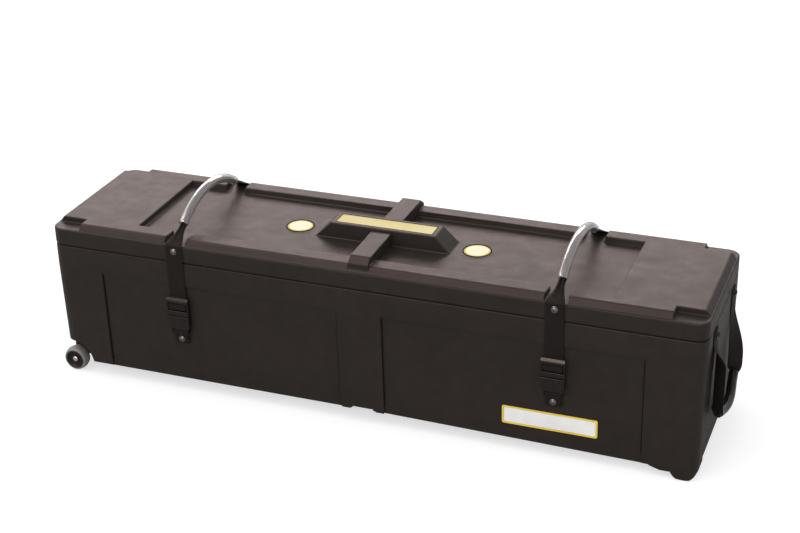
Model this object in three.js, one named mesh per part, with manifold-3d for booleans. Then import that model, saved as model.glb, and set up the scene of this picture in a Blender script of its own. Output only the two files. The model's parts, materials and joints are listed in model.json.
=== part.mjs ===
// A long moulded case for drum hardware, on two wheels and two moulded feet, closed by a webbing strap and a
// side-release buckle at each side of its front. Millimetres, +Z up, +Y to the back, +X to the end with the
// drop handle. The origin is on the floor, under the middle of the whole object.

import * as THREE from 'three';
import { mergeVertices } from 'three/addons/utils/BufferGeometryUtils.js';
import Module from 'manifold-3d';

const wasm = await Module();
wasm.setup();

// Fits
const rest_gap = 0.3;
const turning_gap = 0.6;
const cut_overrun = 20;
const weld_distance = 0.001;

// Case: outside size at the parting line, heights above the floor, wall and corners
const case_length = 1340;
const case_depth = 326;
const case_corner_radius = 25;
const wall = 4;
const underside_z = 30;
const underside_fall = 8.5;
const rim_z = 296;
const lid_bottom_z = 299;
const ledge_z = 334;
const lid_top_z = 346;
const top_edge_inset = 13;
const bottom_edge_radius = 5;
const ledge_edge_radius = 3.5;
const parting_chamfer = 2;
const draft_share = 0.021;
const corner_steps = 5;
const edge_steps = 3;

// Upstanding tongue of the body that the lid's skirt comes down over
const tongue_height = 12;
const tongue_thickness = 3;
const tongue_clearance = 1;
const tongue_lead = 1;
const tongue_root = 6;
const tongue_root_slope = 2;

// Front and back walls: a plain band under the rim, and two recessed panels beside a centre pilaster
const band_height = 46;
const panel_depth = 4;
const panel_end_inset = 110;
const pilaster_half_width = 46;
const panel_top_slope = 9;
const nub_width = 21;
const nub_depth = 30;
const nub_drop = 2.5;
const nub_taper = 2;
const nub_gap_rise = 6;

// Moulded feet at the drop-handle end: a rounded skid flush with both walls, at the end of a shallow pad
const foot_radius = 26;
const foot_flat = 0.5;
const foot_width = 40;
const foot_edge = 3;
const foot_segments = 36;
const pad_reach = 96;
const pad_width = 60;
const pad_slope = 21;
const pad_drop = 6.5;
const pad_inset = 1;

// Wheels in the two lower corners of the other end
const wheel_radius = 26;
const wheel_width = 25;
const wheel_segments = 32;
const axle_inset = 15;
const axle_radius = 4;
const axle_boss_radius = 11;
const arch_radius = 50;
const arch_depth = 36;
const tyre_thickness = 9;
const tyre_crown = 1.6;
const tyre_shoulder = 4;
const hub_lip = 3;
const hub_dish_depth = 7;
const hub_web = 4;
const hub_boss_radius = 8;
const washer_radius = 9;
const washer_thickness = 2;
const cap_radius = 6;
const cap_height = 4;
const cap_wall = 1.2;
const axle_segments = 16;

// Lid top: a sunk floor between two raised ends and two rims, with cut-away corners
const lid_end_length = 180;
const rim_width = 44;
const sunk_side_slope = 3;
const corner_cut_length = 65;
const corner_cut_depth = 36;
const channel_width = 44;

// Lid cross rib and the long centre block with its name-plate seat
const rib_half_width = 20.5;
const rib_side_slope = 1.5;
const rib_top_z = 361;
const rib_top_half = 141;
const rib_foot_half = 156;
const rib_foot_z = 350;
const block_top_z = 366;
const block_top_half_length = 109;
const block_base_half_length = 141;
const block_top_half_width = 27;
const block_base_half_width = 30;
const plate_half_length = 100;
const plate_half_width = 17.5;
const plate_seat_depth = 2.6;
const plate_thickness = 2;
const plate_rim = 2.5;
const plate_rim_height = 0.7;

// Round badges: a raised ring on the sunk floor with a plain domed disc inside
const badge_x = 187;
const badge_ring_radius = 35;
const badge_ring_height = 1.6;
const badge_ring_slope = 4;
const badge_seat_radius = 27.5;
const badge_disc_radius = 26;
const badge_disc_edge = 1;
const badge_disc_crown = 0.9;
const badge_segments = 36;

// Webbing straps, and the clear hoses that make them into carry handles
const strap_end_distance = 281;
const strap_width = 38;
const strap_thickness = 2.2;
const strap_bend_radius = 3;
const strap_bend_steps = 4;
const strap_rise_degrees = 62;
const gathered_thickness = 4.6;
const gather_shares = [0.3, 0.65];
const hose_radius = 9.5;
const hose_wall = 2.1;
const hose_half_span = 115;
const hose_mouth_z = 361;
const hose_rise = 37;
const hose_sides = 12;
const hose_steps = 13;

// Rivets
const rivet_head_radius = 5.5;
const rivet_head_height = 3;
const rivet_shank_radius = 1.6;
const rivet_flange_radius = 6;
const rivet_flange_thickness = 1.2;
const rivet_segments = 14;
const lid_rivet_z = 322;
const hinge_rivet_drop = 24;
const hinge_webbing_length = 40;

// Buckles, measured down from the lower edge of the plain band
const buckle_top_drop = 29;
const frame_width = 48;
const frame_rail_width = 3.4;
const frame_top_bar = 11;
const frame_slot = 6;
const frame_mid_bar = 5;
const frame_lower_slot = 7;
const frame_base_bar = 10;
const frame_bar_thickness = 3;
const frame_depth = 8;
const frame_crown = 1.6;
const socket_gap = 2;
const socket_length = 39;
const socket_top_width = 46;
const socket_bottom_width = 38;
const socket_depth = 10.6;
const socket_wall = 2;
const socket_side_wall = 3.4;
const socket_taper_start = 24;
const window_top_drop = 16;
const window_height = 12;
const socket_slot = 5;
const socket_bar = 4;
const prong_arm_width = 5;
const prong_arm_x = 10.5;
const prong_length = 28.5;
const prong_thickness = 5.6;
const prong_head_reach = 22.4;
const prong_shoulder_clearance = 0.6;
const prong_tip_width = 4;
const tab_width = 32;
const tab_rivet_drop = 125;
const tab_end_margin = 9;

// Front label: a plain card in a moulded frame
const label_end_gap = 85;
const label_z = 78;
const label_width = 187;
const label_height = 39;
const label_frame_width = 3.5;
const label_frame_thickness = 1.8;
const label_card_thickness = 1;
const label_corner_radius = 4;

// Drop handle: one webbing strip through a clear hose grip, held by a bolt at each top end
const drop_anchor_y = 88;
const drop_anchor_z = 281;
const drop_tab_top = 10;
const drop_pivot_drop = 11;
const drop_grip_x = 684;
const drop_grip_bow = 6;
const drop_grip_z = 112;
const drop_grip_half = 80;
const drop_grip_sag = 18;
const drop_turn_degrees = 40;
const drop_turn_shares = { front: [0.02, 0.35], rear: [0.1, 0.9] };
const drop_leg_steps = 12;
const drop_bend_steps = 6;
const drop_grip_steps = 10;
const drop_bend_radius = 14;
const bolt_head_radius = 5;
const bolt_head_height = 3.4;
const bolt_washer_radius = 8.5;
const bolt_washer_thickness = 1.4;

// Inside a hose the webbing is folded as wide as the bore takes.
const hose_bore_radius = hose_radius - hose_wall;
const hose_bore_flat = hose_bore_radius * Math.cos(Math.PI / hose_sides);
const gathered_width = 2 * Math.sqrt((hose_bore_flat - rest_gap) ** 2 - (gathered_thickness / 2) ** 2);

// Derived sizes of the case
const half_length = case_length / 2;
const half_depth = case_depth / 2;
const band_z = rim_z - band_height;
const parting_z = (rim_z + lid_bottom_z) / 2;
const full_draft = (band_z - underside_z) * draft_share;
const tongue_inset = wall + tongue_clearance;
const tongue_inner_inset = tongue_inset + tongue_thickness;
const floor_half_depth = half_depth - rim_width;
const axle_x = -half_length + axle_inset;
const arch_floor_y = half_depth - arch_depth;
const foot_x = half_length - full_draft - foot_radius;
const foot_centre_z = foot_radius - foot_flat;
const end_underside_z = underside_z - underside_fall;
const panel_end_x = half_length - panel_end_inset;
const pad_x = half_length - pad_reach;
const underside_fall_x = [pilaster_half_width, pad_x];
const floor_half_length = half_length - lid_end_length;
const corner_cut_x = half_length - corner_cut_length;
const strap_x = half_length - strap_end_distance;
const label_x = panel_end_x - label_end_gap - label_width / 2;

// Meshes to solids and back

function solidOf(geometry) {
  geometry.deleteAttribute('normal');
  geometry.deleteAttribute('uv');
  const merged = mergeVertices(geometry, weld_distance);
  return new wasm.Manifold(new wasm.Mesh({
    numProp: 3,
    vertProperties: new Float32Array(merged.attributes.position.array),
    triVerts: new Uint32Array(merged.index.array),
  }));
}

function geometryOf(solid) {
  const mesh = solid.getMesh();
  const geometry = new THREE.BufferGeometry();
  geometry.setAttribute('position', new THREE.BufferAttribute(new Float32Array(mesh.vertProperties), 3));
  geometry.setIndex(new THREE.BufferAttribute(new Uint32Array(mesh.triVerts), 1));
  return geometry;
}

function joined(first, ...others) {
  return others.reduce((sum, solid) => sum.add(solid), first);
}

function cutBy(first, ...others) {
  return others.reduce((rest, solid) => rest.subtract(solid), first);
}

// Shapes

// Joins rings of one even point count into a closed body. Each ring runs counter-clockwise seen from the last
// one, and the ends are closed by strips across the ring, from its first and last points inwards.
function loft(rings) {
  const count = rings[0].length;
  const positions = rings.flat().flatMap((point) => [point.x, point.y, point.z]);
  const faces = [];
  for (let level = 0; level + 1 < rings.length; level += 1) {
    for (let corner = 0; corner < count; corner += 1) {
      const next = (corner + 1) % count;
      const low = level * count;
      const high = low + count;
      faces.push(low + corner, low + next, high + next);
      faces.push(low + corner, high + next, high + corner);
    }
  }
  const last = (rings.length - 1) * count;
  for (let near = 0; near + 1 < count / 2; near += 1) {
    const far = count - 1 - near;
    faces.push(near, far - 1, near + 1, near, far, far - 1);
    faces.push(last + near, last + near + 1, last + far - 1, last + near, last + far - 1, last + far);
  }
  const geometry = new THREE.BufferGeometry();
  geometry.setAttribute('position', new THREE.Float32BufferAttribute(positions, 3));
  geometry.setIndex(faces);
  return geometry;
}

// A rounded rectangle, with extra points at the knees of its two long sides
function roundedRing(halfX, halfY, radius, knees) {
  const points = [];
  const corners = [[1, 1], [-1, 1], [-1, -1], [1, -1]];
  corners.forEach(([signX, signY], index) => {
    for (let step = 0; step <= corner_steps; step += 1) {
      const angle = (index + step / corner_steps) * Math.PI / 2;
      points.push(new THREE.Vector3(
        signX * (halfX - radius) + radius * Math.cos(angle),
        signY * (halfY - radius) + radius * Math.sin(angle),
        0,
      ));
    }
    if (signX === signY) {
      const along = signX > 0 ? [...knees].reverse() : knees;
      along.forEach((x) => points.push(new THREE.Vector3(x, signY * halfY, 0)));
    }
  });
  return points;
}

// How far the underside has fallen at a place along the case
function undersideFall(x) {
  const [start, end] = underside_fall_x;
  return underside_fall * THREE.MathUtils.clamp((x - start) / (end - start), 0, 1);
}

// A stack of the case's own outline. Each level is [height, inset, share of the underside's fall it follows].
function caseStack(levels, knees = []) {
  return solidOf(loft(levels.map(([z, inset, follow = 0]) => {
    const radius = Math.max(case_corner_radius - inset, wall);
    const ring = roundedRing(half_length - inset, half_depth - inset, radius, knees);
    ring.forEach((point) => { point.z = z - follow * undersideFall(point.x); });
    return ring;
  })));
}

// A block from one rectangle up to another
function taperedBlock(low, high) {
  const ring = ({ x, y, z }) => [
    new THREE.Vector3(x[1], y[1], z),
    new THREE.Vector3(x[0], y[1], z),
    new THREE.Vector3(x[0], y[0], z),
    new THREE.Vector3(x[1], y[0], z),
  ];
  return solidOf(loft([ring(low), ring(high)]));
}

function block(x, y, z) {
  return taperedBlock({ x, y, z: z[0] }, { x, y, z: z[1] });
}

// A flat outline pushed along an axis: of [y, z] points along x, or of [-x, z] points along y
function pushed(profile, axis, from, to) {
  const shape = new THREE.Shape(profile.map(([first, second]) => new THREE.Vector2(first, second)));
  const geometry = new THREE.ExtrudeGeometry(shape, { depth: to - from, bevelEnabled: false });
  const bases = {
    x: [new THREE.Vector3(0, 1, 0), new THREE.Vector3(0, 0, 1), new THREE.Vector3(1, 0, 0)],
    y: [new THREE.Vector3(-1, 0, 0), new THREE.Vector3(0, 0, 1), new THREE.Vector3(0, 1, 0)],
  };
  geometry.translate(0, 0, from);
  geometry.applyMatrix4(new THREE.Matrix4().makeBasis(...bases[axis]));
  return geometry;
}

// A profile of [radius, distance] points turned about an axis through a place
function turned(profile, axis, place, segments) {
  const geometry = new THREE.LatheGeometry(profile.map(([r, h]) => new THREE.Vector2(r, h)), segments);
  if (axis === 'x') geometry.rotateZ(-Math.PI / 2);
  if (axis === 'z') geometry.rotateX(Math.PI / 2);
  geometry.translate(...place);
  return geometry;
}

function rod(radius, axis, place, from, to, segments) {
  return solidOf(turned([[0, from], [radius, from], [radius, to], [0, to]], axis, place, segments));
}

// A strip of four-cornered sections: each station has a centre, a width vector and a thickness vector
function strip(stations) {
  return loft(stations.map(({ centre, across, through }) => [
    centre.clone().add(across).add(through),
    centre.clone().sub(across).add(through),
    centre.clone().sub(across).sub(through),
    centre.clone().add(across).sub(through),
  ]));
}

// A strip that keeps to planes of equal x. Each station is [y, z, width, thickness]
function flatStrip(stations, x) {
  const across = new THREE.Vector3(1, 0, 0);
  return strip(stations.map(([y, z, width, thickness], index) => {
    const before = stations[Math.max(index - 1, 0)];
    const after = stations[Math.min(index + 1, stations.length - 1)];
    const towards = (a, b) => new THREE.Vector3(0, b[0] - a[0], b[1] - a[1]).normalize();
    const here = stations[index];
    const incoming = index > 0 ? towards(before, here) : towards(here, after);
    const outgoing = index + 1 < stations.length ? towards(here, after) : incoming;
    const along = incoming.clone().add(outgoing).normalize();
    const stretch = 1 / Math.max(along.dot(incoming), Math.SQRT1_2);
    const through = new THREE.Vector3().crossVectors(along, across);
    return {
      centre: new THREE.Vector3(x, y, z),
      across: across.clone().multiplyScalar(width / 2),
      through: through.multiplyScalar(stretch * thickness / 2),
    };
  }));
}

// Points on an arc in the y-z plane, from one angle to another
function arcPoints(centreY, centreZ, radius, fromDegrees, toDegrees, steps) {
  return Array.from({ length: steps + 1 }, (_, step) => {
    const angle = THREE.MathUtils.degToRad(fromDegrees + (toDegrees - fromDegrees) * step / steps);
    return [centreY + radius * Math.cos(angle), centreZ + radius * Math.sin(angle)];
  });
}

// An open-ended tube along a path of points, with its bore
function tube(path, radius, bore, sides) {
  const positions = [];
  const faces = [];
  const ring_size = 2 * sides;
  path.forEach((centre, index) => {
    const before = path[Math.max(index - 1, 0)];
    const after = path[Math.min(index + 1, path.length - 1)];
    const along = after.clone().sub(before).normalize();
    const side = new THREE.Vector3(1, 0, 0).sub(along.clone().multiplyScalar(along.x)).normalize();
    const up = new THREE.Vector3().crossVectors(along, side);
    [radius, bore].forEach((size) => {
      for (let step = 0; step < sides; step += 1) {
        const angle = 2 * Math.PI * step / sides;
        const point = centre.clone().addScaledVector(side, size * Math.cos(angle));
        point.addScaledVector(up, size * Math.sin(angle));
        positions.push(point.x, point.y, point.z);
      }
    });
  });
  const quad = (a, b, c, d) => faces.push(a, b, c, a, c, d);
  for (let step = 0; step < sides; step += 1) {
    const next = (step + 1) % sides;
    for (let level = 0; level + 1 < path.length; level += 1) {
      const low = level * ring_size;
      const high = low + ring_size;
      quad(low + step, low + next, high + next, high + step);
      quad(low + sides + next, low + sides + step, high + sides + step, high + sides + next);
    }
    const last = (path.length - 1) * ring_size;
    quad(step, sides + step, sides + next, next);
    quad(last + next, last + sides + next, last + sides + step, last + step);
  }
  const geometry = new THREE.BufferGeometry();
  geometry.setAttribute('position', new THREE.Float32BufferAttribute(positions, 3));
  geometry.setIndex(faces);
  return geometry;
}

// Materials and the scene graph

const finish = (color, roughness, metalness = 0, extra = {}) => new THREE.MeshStandardMaterial({
  color, roughness, metalness, ...extra,
});
const moulding = finish(0x2f2b29, 0.55);
const webbing = finish(0x1d1b1b, 0.9);
const buckle_plastic = finish(0x262424, 0.4);
const tyre_grey = finish(0x7f7c7b, 0.7);
const bright_metal = finish(0xd8d8d6, 0.2, 1);
const dull_metal = finish(0x9a9a98, 0.45, 1);
const clear_hose = finish(0xe6e9e8, 0.1, 0, { transparent: true, opacity: 0.4 });
const plate_gold = finish(0xe4d79a, 0.45);
const badge_cream = finish(0xf3eccb, 0.4);
const label_yellow = finish(0xe7c63a, 0.45);
const label_white = finish(0xf2f1ee, 0.5);

const model = new THREE.Group();

function addPiece(name, shape, material, parent = model) {
  const geometry = shape.isBufferGeometry ? shape : geometryOf(shape);
  const mesh = new THREE.Mesh(geometry, material);
  mesh.name = name;
  parent.add(mesh);
  return mesh;
}

const sides = [['left', -1], ['right', 1]];
const faces_of_case = [['front', -1], ['rear', 1]];

// Webbing straps

// The hose follows an arc from mouth to mouth over the lid.
const hose_arc_radius = (hose_half_span ** 2 + hose_rise ** 2) / (2 * hose_rise);
const hose_arc_centre_z = hose_mouth_z + hose_rise - hose_arc_radius;
const hose_mouth_degrees = THREE.MathUtils.radToDeg(Math.asin(hose_half_span / hose_arc_radius));
const hose_arc = arcPoints(
  0, hose_arc_centre_z, hose_arc_radius, 90 + hose_mouth_degrees, 90 - hose_mouth_degrees, hose_steps,
);

const strap_offset = rest_gap + strap_thickness / 2;
const strap_face_y = half_depth + rest_gap + strap_thickness;
const hinge_y = strap_face_y;

// The hanging part of each strap leans in from the band to the recessed panel at the tab's rivet.
const hang_angle = Math.atan(panel_depth / tab_rivet_drop + draft_share);

// Over the lid's edge: up the wall, round the edge, then rising and gathered to the hose's mouth
function strapOverEdge(side) {
  const edge_y = half_depth + strap_offset - strap_bend_radius;
  const edge_z = ledge_z + strap_offset - strap_bend_radius;
  const bend = arcPoints(edge_y, edge_z, strap_bend_radius, 0, strap_rise_degrees, strap_bend_steps);
  const [last_y, last_z] = bend.at(-1);
  const between = THREE.MathUtils.lerp;
  return [
    ...bend.map(([y, z]) => [side * y, z, strap_width, strap_thickness]),
    ...gather_shares.map((share) => [
      side * between(last_y, hose_half_span, share),
      between(last_z, hose_mouth_z, share),
      between(strap_width, gathered_width, share),
      between(strap_thickness, gathered_thickness, share),
    ]),
  ];
}

const frame_back = 2 * strap_thickness + 3 * rest_gap;
const mid_bar_top = -(buckle_top_drop + frame_top_bar + frame_slot);
const mid_bar_bottom = mid_bar_top - frame_mid_bar;
const first_layer = -strap_offset;
const second_layer = first_layer - strap_thickness - rest_gap;
const front_layer = -(frame_back + frame_bar_thickness + rest_gap + strap_thickness / 2);

// Round the ladder bar of the buckle's frame, in the hanging strap's own frame
function strapRoundBar() {
  const lower_radius = (first_layer - front_layer) / 2;
  const upper_radius = (second_layer - front_layer) / 2;
  const section = ([y, z]) => [y, z, strap_width, strap_thickness];
  return [
    ...arcPoints(first_layer - lower_radius, mid_bar_bottom - turning_gap, lower_radius, 0, -180, 6),
    ...arcPoints(second_layer - upper_radius, mid_bar_top + turning_gap, upper_radius, 180, 0, 6),
    [second_layer, -buckle_top_drop + strap_bend_radius],
  ].map(section);
}

function hangPoint([y, z, ...rest]) {
  const place = new THREE.Vector3(0, y, z).applyAxisAngle(new THREE.Vector3(1, 0, 0), hang_angle);
  return [place.y - half_depth, place.z + band_z, ...rest];
}

const strap_stations = [
  ...strapRoundBar().reverse().map(hangPoint),
  [-(half_depth + strap_offset), band_z + strap_thickness, strap_width, strap_thickness],
  ...strapOverEdge(-1),
  ...hose_arc.map(([y, z]) => [y, z, gathered_width, gathered_thickness]),
  ...strapOverEdge(1).reverse(),
  [half_depth + strap_offset, parting_z + rest_gap, strap_width, strap_thickness],
];

function rivet(grip) {
  return turned([
    [0, rivet_head_height],
    [rivet_head_radius * 0.55, rivet_head_height * 0.86],
    [rivet_head_radius * 0.88, rivet_head_height * 0.5],
    [rivet_head_radius, 0],
    [rivet_shank_radius, 0],
    [rivet_shank_radius, -grip],
    [rivet_flange_radius, -grip],
    [rivet_flange_radius, -grip - rivet_flange_thickness],
    [0, -grip - rivet_flange_thickness],
  ].reverse(), 'y', [0, 0, 0], rivet_segments);
}

const rivet_hole_radius = rivet_shank_radius + rest_gap;

function rivetHole(x, z, side) {
  const reach = wall + 2 * panel_depth + cut_overrun;
  return rod(rivet_hole_radius, 'y', [x, side * half_depth, z], -reach, reach, rivet_segments);
}

const hang_matrix = (x) => new THREE.Matrix4()
  .makeRotationX(hang_angle)
  .setPosition(x, -half_depth, band_z);

function tabRivetHole(x) {
  const reach = wall + 2 * panel_depth + cut_overrun;
  const hole = turned(
    [[0, -reach], [rivet_hole_radius, -reach], [rivet_hole_radius, reach], [0, reach]],
    'y', [0, 0, -tab_rivet_drop], rivet_segments,
  );
  return solidOf(hole.applyMatrix4(hang_matrix(x)));
}

// Drop handle bolts pass through the end wall
const bolt_hole_radius = rivet_hole_radius;

function boltHole(side) {
  return rod(bolt_hole_radius, 'x', [half_length, side * drop_anchor_y, drop_anchor_z],
    -wall - cut_overrun, cut_overrun, rivet_segments);
}

// Body shell

function panelRecess(side, from, to, grow) {
  const face = side * (half_depth + cut_overrun);
  const deep = (z) => side * (half_depth - panel_depth - grow - (band_z - z) * draft_share);
  const top = band_z + grow;
  const profile = [
    [face, underside_z - cut_overrun],
    [deep(underside_z - cut_overrun), underside_z - cut_overrun],
    [deep(top - panel_top_slope), top - panel_top_slope],
    [side * (half_depth - grow), top],
    [face, top],
  ];
  return solidOf(pushed(side > 0 ? profile.reverse() : profile, 'x', from - grow, to + grow));
}

function panelRecesses(grow) {
  return faces_of_case.flatMap(([, side]) => [
    panelRecess(side, -panel_end_x, -pilaster_half_width, grow),
    panelRecess(side, pilaster_half_width, panel_end_x, grow),
  ]);
}

function wheelArches(grow) {
  return faces_of_case.map(([, side]) => rod(
    arch_radius + grow, 'y', [axle_x, side * (half_depth + cut_overrun), wheel_radius],
    -arch_depth - cut_overrun - grow, arch_depth + cut_overrun + grow, wheel_segments,
  ).subtract(rod(
    2 * arch_radius, 'y', [axle_x, 0, wheel_radius],
    -arch_floor_y + grow, arch_floor_y - grow, wheel_segments,
  )));
}

// What stands under the case stays inside the case's outline, and has a chamfered lower edge.
function underFootprint(inset, shrink) {
  return caseStack([
    [shrink, full_draft + inset + foot_edge + shrink],
    [foot_edge + shrink, full_draft + inset + shrink],
    [foot_centre_z + foot_radius, full_draft + inset + shrink],
  ]);
}

// From the outer wall inwards on one side
function sideSpan(side, width, shrink) {
  const outer = half_depth;
  const inner = half_depth - full_draft - width + shrink;
  return side > 0 ? [inner, outer] : [-outer, -inner];
}

function footSolid(side, shrink) {
  const [from, to] = sideSpan(side, foot_width, shrink);
  return rod(foot_radius - shrink, 'y', [foot_x, 0, foot_centre_z], from, to, foot_segments)
    .intersect(underFootprint(0, shrink));
}

function padSolid(side, shrink) {
  const low = end_underside_z - pad_drop + shrink;
  const high = end_underside_z + shrink;
  const top = high + bottom_edge_radius;
  const profile = [
    [pad_x + shrink, top],
    [pad_x + shrink, high],
    [pad_x + pad_slope + shrink, low],
    [half_length, low],
    [half_length, top],
  ].map(([x, z]) => [-x, z]);
  return solidOf(pushed(profile, 'y', ...sideSpan(side, pad_width, shrink)))
    .intersect(underFootprint(pad_inset, shrink));
}

// The two nubs under each end of the pilaster, and the shallow channel between them
function pilasterNubs() {
  const outer_y = half_depth - full_draft - bottom_edge_radius / 2;
  const inner_y = outer_y - nub_depth;
  const outer_x = pilaster_half_width;
  const inner_x = outer_x - nub_width;
  const span = (low, high, sign, inset) => (sign > 0
    ? [low + inset, high - inset]
    : [-high + inset, -low - inset]);
  return faces_of_case.flatMap(([, side]) => [-1, 1].map((end) => taperedBlock(
    {
      x: span(inner_x, outer_x, end, nub_taper),
      y: span(inner_y, outer_y, side, nub_taper),
      z: underside_z - nub_drop,
    },
    {
      x: span(inner_x, outer_x, end, 0),
      y: span(inner_y, outer_y, side, 0),
      z: underside_z + bottom_edge_radius / 2,
    },
  )));
}

function nubChannel(grow) {
  const half = pilaster_half_width - nub_width + grow;
  const low = underside_z - nub_drop - cut_overrun;
  const high = underside_z + nub_gap_rise + grow;
  return solidOf(pushed([
    [-half, low], [half, low], [half - nub_taper, high], [-half + nub_taper, high],
  ], 'y', -half_depth, half_depth));
}

// Levels that round a lower edge, and levels that round an upper one
function lowerEdge(z, radius, inset) {
  return Array.from({ length: edge_steps + 1 }, (_, step) => {
    const angle = step / edge_steps * Math.PI / 2;
    return [z + radius * (1 - Math.cos(angle)), inset + radius * (1 - Math.sin(angle)), 1];
  });
}

function upperEdge(z, radius, inset) {
  return Array.from({ length: edge_steps + 1 }, (_, step) => {
    const angle = step / edge_steps * Math.PI / 2;
    return [z - radius * (1 - Math.sin(angle)), inset + radius * (1 - Math.cos(angle))];
  });
}

function bodyShell() {
  const outer = caseStack([
    ...lowerEdge(underside_z, bottom_edge_radius, full_draft),
    [band_z, 0],
    [rim_z - parting_chamfer, 0],
    [rim_z, parting_chamfer],
  ], underside_fall_x);
  const tongue = caseStack([
    [rim_z - tongue_root, tongue_inset],
    [rim_z + tongue_height - tongue_lead, tongue_inset],
    [rim_z + tongue_height, tongue_inset + tongue_lead],
  ]);
  const axle_place = [axle_x, 0, wheel_radius];
  const boss_span = [-arch_floor_y, arch_floor_y];
  const boss = rod(axle_boss_radius, 'y', axle_place, ...boss_span, axle_segments).add(block(
    [axle_x - axle_boss_radius, axle_x + axle_boss_radius],
    boss_span,
    [wheel_radius, underside_z + bottom_edge_radius],
  ));
  const feet = faces_of_case.flatMap(([, side]) => [padSolid(side, 0), footSolid(side, 0)]);
  const skin = cutBy(
    joined(outer, tongue, ...feet, ...pilasterNubs()),
    ...panelRecesses(0), ...wheelArches(0), nubChannel(0),
  );
  const inside = joined(
    caseStack([
      ...lowerEdge(underside_z + wall, bottom_edge_radius, full_draft + wall),
      [band_z, wall],
      [rim_z - tongue_root - tongue_root_slope, wall],
      [rim_z - tongue_root, tongue_inner_inset],
      [rim_z + tongue_height + cut_overrun, tongue_inner_inset],
    ], underside_fall_x),
    ...faces_of_case.flatMap(([, side]) => [padSolid(side, wall), footSolid(side, wall)]),
  );
  const cavity = cutBy(inside, ...panelRecesses(wall), ...wheelArches(wall), nubChannel(wall));
  const shell = cutBy(skin, cavity).add(cutBy(boss, ...wheelArches(0)));
  return cutBy(
    shell,
    rod(axle_radius + rest_gap / 2, 'y', axle_place, -half_depth, half_depth, axle_segments),
    ...sides.map(([, side]) => tabRivetHole(side * strap_x)),
    ...sides.map(([, side]) => rivetHole(side * strap_x, parting_z - hinge_rivet_drop, 1)),
    ...faces_of_case.map(([, side]) => boltHole(side)),
  );
}

// Lid shell

function sunkFloor(grow) {
  const x = floor_half_length + grow;
  const y = floor_half_depth + grow;
  const slope = sunk_side_slope;
  const top = lid_top_z + cut_overrun;
  const rise = slope * (top - ledge_z + grow) / (lid_top_z - ledge_z);
  return taperedBlock(
    { x: [-x + slope, x - slope], y: [-y + slope, y - slope], z: ledge_z - grow },
    { x: [-x + slope - rise, x - slope + rise], y: [-y + slope - rise, y - slope + rise], z: top },
  );
}

function cornerCuts(grow) {
  return sides.flatMap(([, sideX]) => faces_of_case.map(([, sideY]) => {
    const x = [corner_cut_x - grow, half_length + cut_overrun].map((place) => sideX * place);
    const y = [half_depth - corner_cut_depth - grow, half_depth + cut_overrun].map((place) => sideY * place);
    const ordered = (pair) => [Math.min(...pair), Math.max(...pair)];
    return block(ordered(x), ordered(y), [ledge_z - grow, lid_top_z + cut_overrun]);
  }));
}

function strapChannels(grow) {
  return sides.map(([, side]) => block(
    [side * strap_x - channel_width / 2 - grow, side * strap_x + channel_width / 2 + grow],
    [-half_depth - cut_overrun, half_depth + cut_overrun],
    [ledge_z - grow, lid_top_z + cut_overrun],
  ));
}

function crossRib(shrink) {
  const top = rib_top_z - shrink;
  const base = ledge_z - wall;
  const widths = [[rib_half_width + rib_side_slope - shrink, base], [rib_half_width - shrink, top]];
  const bar = solidOf(pushed([
    [-widths[0][0], 0], [widths[0][0], 0], [widths[1][0], 1], [-widths[1][0], 1],
  ].map(([x, level]) => [x, widths[level][1]]), 'y', -half_depth, half_depth));
  const profile = solidOf(pushed([
    [-rib_foot_half + shrink, base],
    [rib_foot_half - shrink, base],
    [rib_foot_half - shrink, rib_foot_z - shrink],
    [rib_top_half - shrink, top],
    [-rib_top_half + shrink, top],
    [-rib_foot_half + shrink, rib_foot_z - shrink],
  ], 'x', -rib_half_width - 2 * rib_side_slope, rib_half_width + 2 * rib_side_slope));
  return bar.intersect(profile);
}

function centreBlock(shrink) {
  const base = ledge_z - wall;
  const share = (block_top_z - shrink - base) / (block_top_z - ledge_z);
  const lean_x = block_base_half_length - block_top_half_length;
  const lean_y = block_base_half_width - block_top_half_width;
  const high = { x: block_top_half_length - shrink, y: block_top_half_width - shrink };
  const low = { x: high.x + lean_x * share, y: high.y + lean_y * share };
  return taperedBlock(
    { x: [-low.x, low.x], y: [-low.y, low.y], z: base },
    { x: [-high.x, high.x], y: [-high.y, high.y], z: block_top_z - shrink },
  );
}

function badgeRings() {
  return sides.map(([, side]) => solidOf(turned([
    [0, -wall / 2],
    [badge_ring_radius, -wall / 2],
    [badge_ring_radius, 0],
    [badge_ring_radius - badge_ring_slope, badge_ring_height],
    [badge_seat_radius, badge_ring_height],
    [badge_seat_radius, 0],
    [0, 0],
  ], 'z', [side * badge_x, 0, ledge_z], badge_segments)));
}

function lidShell() {
  const outer = caseStack([
    [lid_bottom_z, parting_chamfer],
    [lid_bottom_z + parting_chamfer, 0],
    ...upperEdge(ledge_z, ledge_edge_radius, 0),
    [lid_top_z - parting_chamfer, top_edge_inset - parting_chamfer],
    [lid_top_z, top_edge_inset + parting_chamfer / 2],
  ]);
  const skin = joined(
    cutBy(outer, sunkFloor(0), ...cornerCuts(0), ...strapChannels(0)),
    crossRib(0), centreBlock(0), ...badgeRings(),
  );
  const inside = cutBy(caseStack([
    [lid_bottom_z - cut_overrun, wall],
    [ledge_z - wall - parting_chamfer, wall],
    [lid_top_z - wall, top_edge_inset + wall],
  ]), sunkFloor(wall), ...cornerCuts(wall), ...strapChannels(wall));
  const cavity = joined(inside, crossRib(wall), centreBlock(wall));
  const seat = block(
    [-plate_half_length - rest_gap, plate_half_length + rest_gap],
    [-plate_half_width - rest_gap, plate_half_width + rest_gap],
    [block_top_z - plate_seat_depth, block_top_z + cut_overrun],
  );
  const rivet_holes = sides.flatMap(([, sideX]) => faces_of_case.map(
    ([, sideY]) => rivetHole(sideX * strap_x, lid_rivet_z, sideY),
  ));
  return cutBy(skin, cavity, seat, ...rivet_holes);
}

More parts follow.
